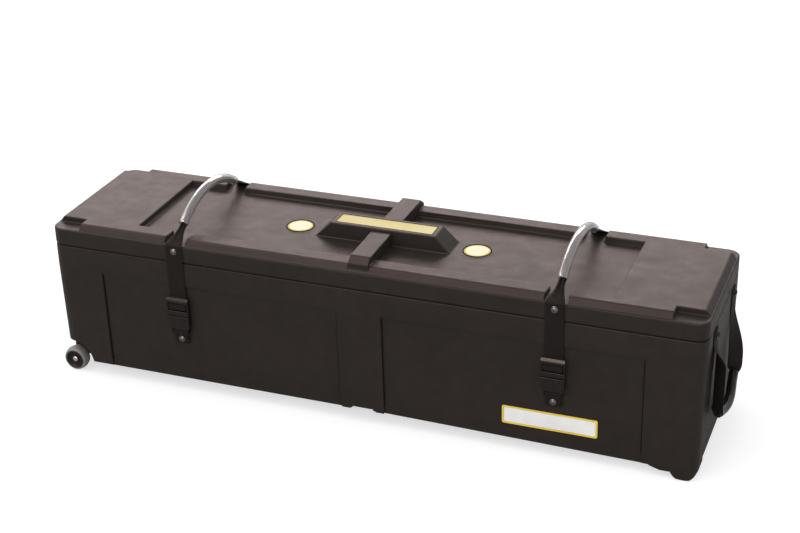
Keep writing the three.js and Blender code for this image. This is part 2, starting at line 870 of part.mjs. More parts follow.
addPiece('case_shell', bodyShell(), moulding);
addPiece('lid_shell', lidShell(), moulding);

// Name plate and badges

const plate_floor_z = block_top_z - plate_seat_depth + rest_gap;
addPiece('name_plate', cutBy(
  block([-plate_half_length, plate_half_length], [-plate_half_width, plate_half_width],
    [plate_floor_z, plate_floor_z + plate_thickness]),
  block([-plate_half_length + plate_rim, plate_half_length - plate_rim],
    [-plate_half_width + plate_rim, plate_half_width - plate_rim],
    [plate_floor_z + plate_thickness - plate_rim_height, plate_floor_z + plate_thickness + cut_overrun]),
), plate_gold);

sides.forEach(([side_name, side]) => {
  addPiece(`badge_disc_${side_name}`, turned([
    [0, 0],
    [badge_disc_radius, 0],
    [badge_disc_radius, badge_disc_edge],
    [badge_disc_radius * 0.6, badge_disc_edge + badge_disc_crown * 0.7],
    [0, badge_disc_edge + badge_disc_crown],
  ], 'z', [side * badge_x, 0, ledge_z + rest_gap], badge_segments), badge_cream);
});

// Straps, hoses, rivets

const strap_rivet_y = strap_face_y + rest_gap;
const strap_rivet_grip = strap_rivet_y - half_depth + wall + rest_gap;

sides.forEach(([side_name, side]) => {
  const x = side * strap_x;
  const lid_holes = faces_of_case.map(([, face]) => rivetHole(x, lid_rivet_z, face));
  addPiece(`strap_${side_name}`, cutBy(solidOf(flatStrip(strap_stations, x)), ...lid_holes), webbing);

  const hose_path = hose_arc.map(([y, z]) => new THREE.Vector3(x, y, z));
  addPiece(`carry_hose_${side_name}`, tube(hose_path, hose_radius, hose_bore_radius, hose_sides), clear_hose);

  faces_of_case.forEach(([face_name, face]) => {
    const stud = addPiece(`lid_rivet_${face_name}_${side_name}`, rivet(strap_rivet_grip), bright_metal);
    stud.position.set(x, face * strap_rivet_y, lid_rivet_z);
    stud.rotation.z = face > 0 ? 0 : Math.PI;
  });

  const webbing_top = parting_z - rest_gap;
  addPiece(`hinge_webbing_${side_name}`, cutBy(
    solidOf(flatStrip([
      [half_depth + strap_offset, webbing_top, strap_width, strap_thickness],
      [half_depth + strap_offset, webbing_top - hinge_webbing_length, strap_width, strap_thickness],
    ], x)),
    rivetHole(x, parting_z - hinge_rivet_drop, 1),
  ), webbing);
  const stud = addPiece(`hinge_rivet_${side_name}`, rivet(strap_rivet_grip), bright_metal);
  stud.position.set(x, strap_rivet_y, parting_z - hinge_rivet_drop);
});

// Buckles, each in the hanging strap's own frame: y = 0 at the wall, -y outwards, z = 0 at the band's edge

const frame_top = -buckle_top_drop;
const frame_bottom = mid_bar_bottom - frame_lower_slot - frame_base_bar;
const socket_top = frame_bottom - socket_gap;
const socket_bottom = socket_top - socket_length;
const socket_front = -socket_depth - rest_gap;
const socket_slot_bottom = socket_bottom + socket_bar;
const socket_slot_top = socket_slot_bottom + socket_slot;
const prong_front_y = socket_front / 2 - rest_gap - prong_thickness / 2;

// The frame: two rails, a crowned top bar, the ladder bar and the base that carries the prongs
function buckleFrame() {
  const half = frame_width / 2;
  const rails_back = -(strap_thickness + 2 * rest_gap);
  const front = -(frame_back + frame_depth - frame_bar_thickness);
  const plan = [
    [-half, frame_bottom],
    [half, frame_bottom],
    [half, frame_top - frame_crown],
    [half - frame_crown * 2, frame_top],
    [-half + frame_crown * 2, frame_top],
    [-half, frame_top - frame_crown],
  ];
  const outline = new THREE.Shape(plan.map(([x, z]) => new THREE.Vector2(x, z)));
  const body = new THREE.ExtrudeGeometry(outline, { depth: rails_back - front, bevelEnabled: false });
  body.rotateX(Math.PI / 2);
  body.translate(0, rails_back, 0);
  const inner_half = half - frame_rail_width;
  const bars = [
    [frame_top, frame_top - frame_top_bar],
    [mid_bar_top, mid_bar_bottom],
    [frame_bottom + frame_base_bar, frame_bottom],
  ];
  const openings = block([-inner_half, inner_half], [front - cut_overrun, cut_overrun],
    [frame_bottom + frame_base_bar, frame_top - frame_top_bar]);
  const behind_bars = block([-inner_half, inner_half], [-frame_back, cut_overrun],
    [frame_bottom - cut_overrun, frame_top + cut_overrun]);
  const ladder = block([-inner_half - rest_gap, inner_half + rest_gap],
    [-frame_back - frame_bar_thickness, -frame_back], [bars[1][1], bars[1][0]]);
  const crown = solidOf(pushed([
    [front - cut_overrun, frame_top + cut_overrun],
    [front - cut_overrun, frame_top - frame_top_bar / 2],
    [front, frame_top - frame_top_bar / 2],
    [-frame_back, frame_top],
    [-frame_back, frame_top + cut_overrun],
  ].reverse(), 'x', -frame_width, frame_width));
  return cutBy(solidOf(body), openings, behind_bars, crown).add(ladder);
}

// A prong: an arm with an outward head that locks under the socket's side wall
function buckleProng(side) {
  const inner = prong_arm_x;
  const outer = prong_arm_x + prong_arm_width;
  const shoulder = socket_top - window_top_drop - prong_shoulder_clearance;
  const top = frame_bottom - turning_gap;
  const tip = top - prong_length;
  const plan = [
    [inner, top], [inner, tip + prong_tip_width], [inner + prong_tip_width / 2, tip],
    [outer + prong_tip_width / 4, tip], [prong_head_reach - prong_tip_width / 4, shoulder - prong_tip_width],
    [prong_head_reach, shoulder], [outer, shoulder], [outer, top],
  ].map(([x, z]) => new THREE.Vector2(side * x, z));
  const outline = new THREE.Shape(plan);
  const geometry = new THREE.ExtrudeGeometry(outline, { depth: prong_thickness, bevelEnabled: false });
  geometry.rotateX(Math.PI / 2);
  geometry.translate(0, prong_front_y + prong_thickness, 0);
  return geometry;
}

// The socket: a flat box, open above, with a window in each side and a slotted bar for the tab below
function buckleSocket() {
  const half_top = socket_top_width / 2;
  const half_bottom = socket_bottom_width / 2;
  const taper_z = socket_top - socket_taper_start;
  const taper_end_z = taper_z - (half_top - half_bottom);
  const plan = [
    [-half_top, socket_top],
    [-half_top, taper_z],
    [-half_bottom, taper_end_z],
    [-half_bottom, socket_bottom],
    [half_bottom, socket_bottom],
    [half_bottom, taper_end_z],
    [half_top, taper_z],
    [half_top, socket_top],
  ].map(([x, z]) => new THREE.Vector2(x, z));
  const outline = new THREE.Shape(plan);
  const outside = new THREE.ExtrudeGeometry(outline, { depth: socket_depth, bevelEnabled: false });
  outside.rotateX(Math.PI / 2);
  outside.translate(0, -rest_gap, 0);
  const inner_half = half_top - socket_side_wall;
  const inner_y = [socket_front + socket_wall, -rest_gap - socket_wall];
  const throat_bottom = socket_slot_top + socket_wall;
  const throat = block([-inner_half, inner_half], inner_y, [taper_z, socket_top + cut_overrun]);
  const lower_half = half_bottom - socket_wall;
  const lower_throat = block([-lower_half, lower_half], inner_y, [throat_bottom, taper_z + rest_gap]);
  const window_z = socket_top - window_top_drop;
  const window_half = half_top + cut_overrun;
  const windows = block([-window_half, window_half], inner_y, [window_z - window_height, window_z]);
  const slot_half = tab_width / 2 + rest_gap;
  const through_y = [socket_front - cut_overrun, cut_overrun];
  const slot = block([-slot_half, slot_half], through_y, [socket_slot_bottom, socket_slot_top]);
  const bar_relief = cutBy(
    block([-slot_half, slot_half], through_y, [socket_bottom - cut_overrun, socket_slot_bottom + rest_gap]),
    block([-half_top, half_top], [-frame_back - frame_bar_thickness, -frame_back],
      [socket_bottom - 2 * cut_overrun, socket_slot_top]),
  );
  return cutBy(solidOf(outside), throat, lower_throat, windows, slot, bar_relief);
}

// The tab: webbing looped over the socket's bar, both layers held by the tab's rivet
function tabStations() {
  const bar_top = socket_slot_bottom;
  const loop_radius = (second_layer - front_layer) / 2;
  const end_z = -tab_rivet_drop - tab_end_margin;
  const meet_z = -tab_rivet_drop + tab_end_margin;
  return [
    [first_layer, end_z],
    [first_layer, meet_z],
    [second_layer, socket_bottom - 2 * turning_gap],
    ...arcPoints(second_layer - loop_radius, bar_top + turning_gap, loop_radius, 0, 180, 6),
    [front_layer, socket_bottom - 2 * turning_gap],
    [second_layer, meet_z],
    [second_layer, end_z],
  ].map(([y, z]) => [y, z, tab_width, strap_thickness]);
}

function tabHole() {
  return rod(rivet_hole_radius, 'y', [0, 0, -tab_rivet_drop], -cut_overrun, cut_overrun, rivet_segments);
}

const tab_rivet_y = -(2 * strap_thickness + 3 * rest_gap);
const tab_rivet_grip = -tab_rivet_y + wall / Math.cos(hang_angle) + rest_gap;

sides.forEach(([side_name, side]) => {
  const hanging = new THREE.Group();
  hanging.position.set(side * strap_x, -half_depth, band_z);
  hanging.rotation.x = hang_angle;
  model.add(hanging);
  addPiece(`buckle_frame_${side_name}`, buckleFrame(), buckle_plastic, hanging);
  addPiece(`buckle_prong_${side_name}_a`, buckleProng(-1), buckle_plastic, hanging);
  addPiece(`buckle_prong_${side_name}_b`, buckleProng(1), buckle_plastic, hanging);
  addPiece(`buckle_socket_${side_name}`, buckleSocket(), buckle_plastic, hanging);
  const tab = cutBy(solidOf(flatStrip(tabStations(), 0)), tabHole());
  addPiece(`buckle_tab_${side_name}`, tab, webbing, hanging);
  const stud = addPiece(`tab_rivet_${side_name}`, rivet(tab_rivet_grip), bright_metal, hanging);
  stud.position.set(0, tab_rivet_y, -tab_rivet_drop);
  stud.rotation.z = Math.PI;
});

// Wheels on a through axle

const washer_out = arch_floor_y + rest_gap + washer_thickness;
const wheel_inner_y = washer_out + rest_gap;
const wheel_outer_y = wheel_inner_y + wheel_width;
const hub_radius = wheel_radius - tyre_thickness;
const axle_half = wheel_outer_y - hub_dish_depth + hub_lip + cap_height / 2;

const axle = rod(axle_radius, 'y', [axle_x, 0, wheel_radius], -axle_half, axle_half, axle_segments);
addPiece('axle_rod', axle, dull_metal);

faces_of_case.forEach(([face_name, face]) => {
  const place = [axle_x, 0, wheel_radius];
  const facing = (profile, segments) => {
    const points = profile.map(([r, y]) => [r, face * y]);
    return turned(face > 0 ? points : points.reverse(), 'y', place, segments);
  };
  const bore = axle_radius + rest_gap;
  addPiece(`axle_washer_${face_name}`, facing([
    [bore, arch_floor_y + rest_gap], [washer_radius, arch_floor_y + rest_gap],
    [washer_radius, washer_out], [bore, washer_out], [bore, arch_floor_y + rest_gap],
  ], axle_segments), dull_metal);
  const tread = wheel_radius - tyre_crown;
  addPiece(`wheel_tyre_${face_name}`, facing([
    [hub_radius, wheel_inner_y],
    [tread - tyre_shoulder / 2, wheel_inner_y],
    [tread, wheel_inner_y + tyre_shoulder],
    [wheel_radius, (wheel_inner_y + wheel_outer_y) / 2],
    [tread, wheel_outer_y - tyre_shoulder],
    [tread - tyre_shoulder / 2, wheel_outer_y],
    [hub_radius, wheel_outer_y],
    [hub_radius, wheel_inner_y],
  ], wheel_segments), tyre_grey);
  const rim_radius = hub_radius - rest_gap;
  const boss_face = wheel_outer_y - hub_dish_depth + hub_lip;
  addPiece(`wheel_hub_${face_name}`, facing([
    [bore, wheel_inner_y],
    [rim_radius, wheel_inner_y],
    [rim_radius, wheel_outer_y],
    [rim_radius - hub_lip, wheel_outer_y],
    [rim_radius - hub_lip - hub_web / 2, wheel_outer_y - hub_dish_depth],
    [hub_boss_radius, wheel_outer_y - hub_dish_depth],
    [hub_boss_radius, boss_face],
    [bore, boss_face],
    [bore, wheel_inner_y],
  ], wheel_segments), moulding);
  const cap_start = boss_face + rest_gap;
  addPiece(`axle_cap_${face_name}`, facing([
    [bore, cap_start],
    [cap_radius, cap_start],
    [cap_radius * 0.94, cap_start + cap_height * 0.45],
    [cap_radius * 0.6, cap_start + cap_height * 0.86],
    [0, cap_start + cap_height],
    [0, cap_start + cap_height - cap_wall],
    [bore, cap_start + cap_height - cap_wall * 1.6],
    [bore, cap_start],
  ], axle_segments), bright_metal);
});

// Front label: a card in a frame, flat on the recessed panel

const label_group = new THREE.Group();
const panel_angle = Math.atan(draft_share);
label_group.position.set(label_x, -(half_depth - panel_depth - (band_z - label_z) * draft_share), label_z);
label_group.rotation.x = panel_angle;
model.add(label_group);

function roundedPlate(width, height, radius, from, to) {
  const halfX = width / 2 - radius;
  const halfZ = height / 2 - radius;
  const shape = new THREE.Shape();
  shape.absarc(halfX, halfZ, radius, 0, Math.PI / 2);
  shape.absarc(-halfX, halfZ, radius, Math.PI / 2, Math.PI);
  shape.absarc(-halfX, -halfZ, radius, Math.PI, 3 * Math.PI / 2);
  shape.absarc(halfX, -halfZ, radius, 3 * Math.PI / 2, 2 * Math.PI);
  const geometry = new THREE.ExtrudeGeometry(shape, {
    depth: to - from, bevelEnabled: false, curveSegments: corner_steps,
  });
  geometry.rotateX(Math.PI / 2);
  geometry.translate(0, -from, 0);
  return solidOf(geometry);
}

const card_width = label_width - 2 * label_frame_width;
const card_height = label_height - 2 * label_frame_width;
const card_radius = label_corner_radius / 2;
addPiece('label_frame', cutBy(
  roundedPlate(label_width, label_height, label_corner_radius, rest_gap, rest_gap + label_frame_thickness),
  roundedPlate(card_width, card_height, card_radius, -cut_overrun, cut_overrun),
), label_yellow, label_group);
const card_front = rest_gap + label_card_thickness;
addPiece('label_card', roundedPlate(
  card_width - 2 * rest_gap, card_height - 2 * rest_gap, card_radius, rest_gap, card_front,
), label_white, label_group);

// Drop handle at the +X end

const drop_pivot_z = drop_anchor_z - drop_pivot_drop;

function dropTab(side) {
  const y = side * drop_anchor_y;
  const half = strap_width / 2;
  const shape = new THREE.Shape();
  const top = drop_anchor_z + drop_tab_top - half / 2;
  shape.moveTo(y - half, drop_pivot_z + rest_gap);
  shape.lineTo(y + half, drop_pivot_z + rest_gap);
  shape.lineTo(y + half, top);
  shape.quadraticCurveTo(y + half, top + half / 2, y + half / 2, top + half / 2);
  shape.lineTo(y - half / 2, top + half / 2);
  shape.quadraticCurveTo(y - half, top + half / 2, y - half, top);
  const geometry = new THREE.ExtrudeGeometry(shape, {
    depth: strap_thickness, bevelEnabled: false, curveSegments: corner_steps,
  });
  geometry.applyMatrix4(new THREE.Matrix4().makeBasis(
    new THREE.Vector3(0, 1, 0), new THREE.Vector3(0, 0, 1), new THREE.Vector3(1, 0, 0),
  ));
  geometry.translate(half_length + rest_gap, 0, 0);
  return cutBy(solidOf(geometry), boltHole(side));
}

// One section of the strip. Lean is how far its route has turned from downwards to inwards, and turn is how
// far its width has turned from along the wall to square to it.
function dropStation(side, centre, lean, turn, width, thickness) {
  const out = new THREE.Vector3(1, 0, 0);
  const beside = new THREE.Vector3(0, side * Math.cos(lean), -Math.sin(lean));
  return {
    centre,
    across: out.clone().multiplyScalar(Math.sin(turn)).addScaledVector(beside, Math.cos(turn)),
    through: out.clone().multiplyScalar(-Math.cos(turn)).addScaledVector(beside, Math.sin(turn)),
    width,
    thickness,
  };
}

// One half of the strip's route, from its pivot down a leg and round the bend to the hanging grip
const grip_end_slope = Math.atan(2 * drop_grip_sag / drop_grip_half);

function dropHalf(side) {
  const bend_lean = Math.PI / 2 - grip_end_slope;
  const leg_y = drop_grip_half + drop_bend_radius * (1 - Math.cos(bend_lean));
  const leg_top = drop_pivot_z - rest_gap;
  const leg_bottom = drop_grip_z + drop_bend_radius * Math.sin(bend_lean);
  const turn_shares = side > 0 ? drop_turn_shares.rear : drop_turn_shares.front;
  const full_turn = THREE.MathUtils.degToRad(drop_turn_degrees);
  const mix = THREE.MathUtils.lerp;
  const edge_on_wall = (turn) => half_length + rest_gap + strap_width / 2 * Math.sin(turn)
    + strap_thickness / 2 * Math.cos(turn) + turning_gap * turn / full_turn;
  const stations = [];
  for (let step = 0; step <= drop_leg_steps; step += 1) {
    const share = step / drop_leg_steps;
    const turn = THREE.MathUtils.smoothstep(share, ...turn_shares) * full_turn;
    const y = mix(drop_anchor_y, leg_y, THREE.MathUtils.smoothstep(share, 0, 1));
    const centre = new THREE.Vector3(edge_on_wall(turn), side * y, mix(leg_top, leg_bottom, share));
    stations.push(dropStation(side, centre, 0, turn, strap_width, strap_thickness));
  }
  for (let step = 1; step <= drop_bend_steps; step += 1) {
    const share = step / drop_bend_steps;
    const lean = share * bend_lean;
    const centre = new THREE.Vector3(
      mix(edge_on_wall(full_turn), drop_grip_x, share),
      side * (leg_y - drop_bend_radius * (1 - Math.cos(lean))),
      leg_bottom - drop_bend_radius * Math.sin(lean),
    );
    stations.push(dropStation(
      side, centre, lean, mix(full_turn, Math.PI / 2, share),
      mix(strap_width, gathered_width, share), mix(strap_thickness, gathered_thickness, share),
    ));
  }
  return stations;
}

const grip_points = Array.from({ length: drop_grip_steps + 1 }, (_, step) => {
  const share = step / drop_grip_steps * 2 - 1;
  const belly = 1 - share * share;
  return new THREE.Vector3(
    drop_grip_x + drop_grip_bow * belly ** 2, share * drop_grip_half, drop_grip_z - drop_grip_sag * belly,
  );
});

function dropStrip() {
  const along_grip = grip_points.slice(1, -1).map((centre, index) => {
    const along = grip_points[index + 2].clone().sub(grip_points[index]).normalize();
    const across = new THREE.Vector3(1, 0, 0).addScaledVector(along, -along.x).normalize();
    const through = new THREE.Vector3().crossVectors(along, across);
    return { centre, across, through, width: gathered_width, thickness: gathered_thickness };
  });
  const stations = [...dropHalf(-1), ...along_grip, ...dropHalf(1).reverse()];
  return strip(stations.map(({ centre, across, through, width, thickness }) => ({
    centre,
    across: across.clone().multiplyScalar(width / 2),
    through: through.clone().multiplyScalar(thickness / 2),
  })));
}

addPiece('drop_handle_webbing', dropStrip(), webbing);
addPiece('drop_handle_hose', tube(grip_points, hose_radius, hose_bore_radius, hose_sides), clear_hose);

faces_of_case.forEach(([face_name, face]) => {
  const y = face * drop_anchor_y;
  const outer = half_length + 2 * rest_gap + strap_thickness;
  addPiece(`drop_tab_${face_name}`, dropTab(face), webbing);
  addPiece(`bolt_washer_${face_name}`, turned([
    [bolt_hole_radius, 0], [bolt_washer_radius, 0], [bolt_washer_radius, bolt_washer_thickness],
    [bolt_hole_radius, bolt_washer_thickness], [bolt_hole_radius, 0],
  ], 'x', [outer, y, drop_anchor_z], rivet_segments), dull_metal);
  const head = outer + bolt_washer_thickness + rest_gap;
  const grip = head - half_length + wall + rest_gap;
  addPiece(`handle_bolt_${face_name}`, turned([
    [0, -grip - rivet_flange_thickness],
    [rivet_flange_radius, -grip - rivet_flange_thickness],
    [rivet_flange_radius, -grip],
    [rivet_shank_radius, -grip],
    [rivet_shank_radius, 0],
    [bolt_head_radius, 0],
    [bolt_head_radius * 0.9, bolt_head_height * 0.6],
    [bolt_head_radius * 0.5, bolt_head_height],
    [0, bolt_head_height],
  ], 'x', [head, y, drop_anchor_z], rivet_segments), bright_metal);
});

// The origin lies on the floor under the middle of the whole object.
const reach = new THREE.Box3().setFromObject(model);
const middle = reach.getCenter(new THREE.Vector3());
model.position.set(-middle.x, -middle.y, 0);
model.updateMatrixWorld(true);

export default model;
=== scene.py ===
# A long moulded case for drum hardware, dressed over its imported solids. Metres, +Z up, +Y to the back.

import json
import math

import bmesh
import bpy
from mathutils import Matrix, Vector


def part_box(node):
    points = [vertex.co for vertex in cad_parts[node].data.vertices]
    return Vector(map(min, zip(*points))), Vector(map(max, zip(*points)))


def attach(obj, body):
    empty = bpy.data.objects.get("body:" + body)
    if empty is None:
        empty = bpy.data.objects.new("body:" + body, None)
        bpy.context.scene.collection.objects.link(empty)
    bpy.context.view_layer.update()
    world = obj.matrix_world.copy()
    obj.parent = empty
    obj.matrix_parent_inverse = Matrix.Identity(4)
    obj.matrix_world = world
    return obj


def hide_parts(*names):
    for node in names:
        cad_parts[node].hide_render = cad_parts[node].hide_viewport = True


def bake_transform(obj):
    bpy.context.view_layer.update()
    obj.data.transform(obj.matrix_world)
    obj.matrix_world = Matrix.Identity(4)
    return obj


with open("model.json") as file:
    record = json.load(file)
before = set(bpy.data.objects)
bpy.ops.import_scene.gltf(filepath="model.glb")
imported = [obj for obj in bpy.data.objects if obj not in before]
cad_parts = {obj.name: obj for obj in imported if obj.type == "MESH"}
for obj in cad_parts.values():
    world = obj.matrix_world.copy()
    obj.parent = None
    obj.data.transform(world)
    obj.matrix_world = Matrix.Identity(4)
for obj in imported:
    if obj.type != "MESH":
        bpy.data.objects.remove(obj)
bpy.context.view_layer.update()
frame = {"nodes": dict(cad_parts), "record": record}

# Places that the pieces share. Heights are above the floor, and x and y are from the middle of the case.
case_low, case_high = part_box("case_shell")
middle = Vector(((case_low.x + case_high.x) / 2, (case_low.y + case_high.y) / 2, 0))
half_length = 0.670
half_depth = 0.163
case_wall = 0.004
band_z = 0.250
parting_z = 0.2975
ledge_z = 0.334
panel_depth = 0.004
draft_share = 0.021
strap_thickness = 0.0022
rest_gap = 0.0003
turning_gap = 0.0006
sides = {"left": -1, "right": 1}
faces = {"front": -1, "rear": 1}
rightwards = Vector((1, 0, 0))
backwards = Vector((0, 1, 0))
upwards = Vector((0, 0, 1))

# Camera, set from the photograph's perspective
camera_eye = Vector((1.0818, -2.72282, 1.70926))
camera_right = Vector((0.93572, 0.35211, -0.02064))
camera_up = Vector((-0.13780, 0.41879, 0.89756))
camera_lens_mm = 73.685
camera_clip = (0.05, 40)


# Shader maths

class Value:
    """The output of a node, with arithmetic that adds Math nodes to the same tree."""

    def __init__(self, nodes, socket):
        self.nodes = nodes
        self.socket = socket

    def maths(self, operation, *values):
        return self.nodes.add("ShaderNodeMath", {"operation": operation}, dict(enumerate(values)))

    def __add__(self, other):
        return self.maths("ADD", self, other)

    def __mul__(self, other):
        return self.maths("MULTIPLY", self, other)

    __radd__ = __add__
    __rmul__ = __mul__

    def sine(self):
        return self.maths("SINE", self)


# The colour sockets of a Mix node, which share their names with its other sockets
mix_share, mix_first, mix_second, mix_result = 0, 6, 7, 2


class Nodes:
    """The node tree of one material or of the world."""

    def __init__(self, owner):
        owner.use_nodes = True
        self.tree = owner.node_tree

    def feed(self, socket, value):
        if isinstance(value, Value):
            self.tree.links.new(value.socket, socket)
        else:
            socket.default_value = value

    def add(self, kind, settings=None, inputs=None, output=0):
        """A node with its settings, then its inputs. The value is one of its outputs."""
        node = self.tree.nodes.new(kind)
        for name, setting in (settings or {}).items():
            setattr(node, name, setting)
        for name, value in (inputs or {}).items():
            self.feed(node.inputs[name], value)
        return Value(self, node.outputs[output])

    def place(self):
        """Object coordinates, from the middle of the case."""
        objects = self.add("ShaderNodeTexCoord", output="Object")
        return self.add("ShaderNodeVectorMath", {"operation": "SUBTRACT"}, {0: objects, 1: middle})

    def noise(self, vector, scale, detail=2.0, roughness=0.5):
        return self.add("ShaderNodeTexNoise", None, {
            "Vector": vector, "Scale": scale, "Detail": detail, "Roughness": roughness,
        })

    def spread(self, value, span, onto=(0.0, 1.0)):
        return self.add("ShaderNodeMapRange", None, {
            "Value": value, "From Min": span[0], "From Max": span[1], "To Min": onto[0], "To Max": onto[1],
        })

    def mixed(self, share, first, second):
        inputs = {mix_share: share, mix_first: first, mix_second: second}
        return self.add("ShaderNodeMix", {"data_type": "RGBA"}, inputs, mix_result)

    def bump(self, height, relief, under=None):
        inputs = {"Height": height, "Distance": relief[0], "Strength": relief[1]}
        if under is not None:
            inputs["Normal"] = under
        return self.add("ShaderNodeBump", None, inputs)


class Finish(Nodes):
    """A new material, with plain numbers set on its shader's own sockets."""

    def __init__(self, name, **constants):
        self.material = bpy.data.materials.new(name)
        super().__init__(self.material)
        self.shader = self.tree.nodes["Principled BSDF"]
        for socket, value in constants.items():
            self.shader.inputs[socket.replace("_", " ")].default_value = value

    def covered(self, colour, roughness, normal):
        """Feeds what changes over the surface, and gives the material."""
        self.feed(self.shader.inputs["Base Color"], colour)
        self.feed(self.shader.inputs["Roughness"], roughness)
        self.feed(self.shader.inputs["Normal"], normal)
        return self.material


def opaque(red, green, blue):
    return (red, green, blue, 1)


# Finishes. A noise is its scale, its detail and its roughness. A span is the part of a pattern's range
# that is spread from one look to the other. A relief is its height and its strength.

wide_span = (0.3, 0.7)
core_span = (0.35, 0.65)
upper_span = (0.35, 0.7)
warm_gleam = opaque(1.0, 0.86, 0.82)

moulding_shades = (opaque(0.018, 0.0145, 0.0125), opaque(0.023, 0.0187, 0.0161))
moulding_gloss = (0.43, 0.53)
moulding_ior = 1.48
moulding_specular = 0.16
moulding_mottle = (38, 5, 0.65)
moulding_ripple = (7, 2)
moulding_grain = (900, 2)
mottle_share = 0.6
ripple_relief = (0.006, 1.0)
mottle_relief = (0.0006, 0.6)
grain_relief = (0.00025, 0.8)


def moulding_finish():
    """Blow-moulded black: a pebbled grain, soft mottling, and the slow waves of a moulded wall."""
    finish = Finish(
        "moulding", IOR=moulding_ior, Specular_IOR_Level=moulding_specular, Specular_Tint=warm_gleam,
    )
    place = finish.place()
    mottle = finish.noise(place, *moulding_mottle)
    ripple = finish.noise(place, *moulding_ripple)
    grain = finish.noise(place, *moulding_grain)
    tone = finish.spread(mottle * mottle_share + ripple * (1 - mottle_share), core_span)
    waves = finish.bump(ripple, ripple_relief)
    pebbles = finish.bump(mottle, mottle_relief, waves)
    return finish.covered(
        finish.mixed(tone, *moulding_shades),
        finish.spread(mottle, wide_span, moulding_gloss),
        finish.bump(grain, grain_relief, pebbles),
    )


weave_rib = 0.0016
weave_yarn = 0.0021
weave_span = (-0.7, 0.7)
weave_relief = (0.0004, 1.0)
crossing_share = 0.5
rib_share = 0.25
fuzz_share = 0.4
wear_share = 0.3
webbing_shades = (opaque(0.004, 0.0031, 0.0028), opaque(0.015, 0.0118, 0.0106))
webbing_gloss = (0.6, 0.85)
webbing_sheen = 0.02
webbing_sheen_roughness = 0.5
webbing_specular = 0.12
webbing_fuzz = (700, 3)
webbing_wear = (25, 3)


def webbing_finish():
    """Black webbing, woven in ribs across the band, a little worn."""
    finish = Finish(
        "webbing", Specular_IOR_Level=webbing_specular, Specular_Tint=warm_gleam,
        Sheen_Weight=webbing_sheen, Sheen_Roughness=webbing_sheen_roughness, Sheen_Tint=warm_gleam,
    )
    band = finish.add("ShaderNodeUVMap", {"uv_map": "band"})
    across = finish.add("ShaderNodeSeparateXYZ", None, {"Vector": band}, output="X")
    along = finish.add("ShaderNodeSeparateXYZ", None, {"Vector": band}, output="Y")
    ribs = (along * (math.tau / weave_rib)).sine()
    yarns = (across * (math.tau / weave_yarn)).sine()
    weave = ribs * yarns * crossing_share + ribs * rib_share
    fuzz = finish.noise(band, *webbing_fuzz)
    worn = finish.noise(band, *webbing_wear)
    clean_tone = finish.spread(weave, weave_span)
    worn_tone = finish.spread(worn, upper_span)
    tone = clean_tone * (1 - wear_share) + worn_tone * wear_share
    return finish.covered(
        finish.mixed(tone, *webbing_shades),
        finish.spread(fuzz, wide_span, webbing_gloss),
        finish.bump(weave + fuzz * fuzz_share, weave_relief),
    )


buckle_shades = (opaque(0.005, 0.0041, 0.0037), opaque(0.011, 0.009, 0.0082))
buckle_gloss = (0.17, 0.28)
buckle_specular = 0.28
buckle_haze = (220, 3)
buckle_grain = (1500, 2)
buckle_relief = (0.00012, 0.6)


def buckle_finish():
    """Glossy black plastic, with a faint haze and a fine grain."""
    finish = Finish("buckle_plastic", Specular_IOR_Level=buckle_specular, Specular_Tint=warm_gleam)
    place = finish.place()
    haze = finish.noise(place, *buckle_haze)
    return finish.covered(
        finish.mixed(finish.spread(haze, wide_span), *buckle_shades),
        finish.spread(haze, wide_span, buckle_gloss),
        finish.bump(finish.noise(place, *buckle_grain), buckle_relief),
    )


tyre_shades = (opaque(0.155, 0.150, 0.146), opaque(0.255, 0.247, 0.240))
tyre_gloss = (0.55, 0.8)
tyre_dust = (90, 6, 0.7)
tyre_speck = (1100, 2)
speck_share = 0.6
tyre_relief = (0.0003, 1.0)


def tyre_finish():
    """Dusty grey rubber with fine specks."""
    finish = Finish("tyre_grey")
    place = finish.place()
    dust = finish.noise(place, *tyre_dust)
    speck = finish.noise(place, *tyre_speck)
    return finish.covered(
        finish.mixed(finish.spread(dust, wide_span), *tyre_shades),
        finish.spread(dust, wide_span, tyre_gloss),
        finish.bump(speck * speck_share + dust, tyre_relief),
    )


# Each metal's colour, its gloss and the scale of its rubbed marks
metals = {
    "bright_metal": ((0.50, 0.48, 0.475), (0.12, 0.28), 400),
    "rivet_metal": ((0.18, 0.17, 0.166), (0.12, 0.26), 400),
    "black_metal": ((0.035, 0.032, 0.031), (0.3, 0.45), 300),
    "dull_metal": ((0.26, 0.25, 0.245), (0.35, 0.5), 260),
}
rubbed_detail = (4, 0.7)
rubbed_span = (0.35, 0.75)
rubbed_shade = 0.8
rubbed_relief = (0.00006, 1.0)


def metal_finish(name, shade, gloss, scale):
    """Plated metal, with fine rubbed marks in its gloss."""
    finish = Finish(name, Metallic=1.0)
    rubbed = finish.noise(finish.place(), scale, *rubbed_detail)
    darker = (rubbed_shade * part for part in shade)
    return finish.covered(
        finish.mixed(finish.spread(rubbed, rubbed_span), opaque(*shade), opaque(*darker)),
        finish.spread(rubbed, wide_span, gloss),
        finish.bump(rubbed, rubbed_relief),
    )


# Each hose's colour, its colour where it is scuffed, and its index of refraction
hoses = {
    "clear_hose": ((0.95, 0.92, 0.91), (0.87, 0.835, 0.825), 1.5),
    # The second is the clear hose darkened all over: painted shade for the drop handle's grip, which hangs in
    # shade
    "smoky_hose": ((0.14, 0.125, 0.12), (0.09, 0.08, 0.077), 1.2),
}
hose_clearness = 0.92
hose_gloss = (0.04, 0.11)
hose_scuff = (160, 4)
hose_relief = (0.00012, 1.0)


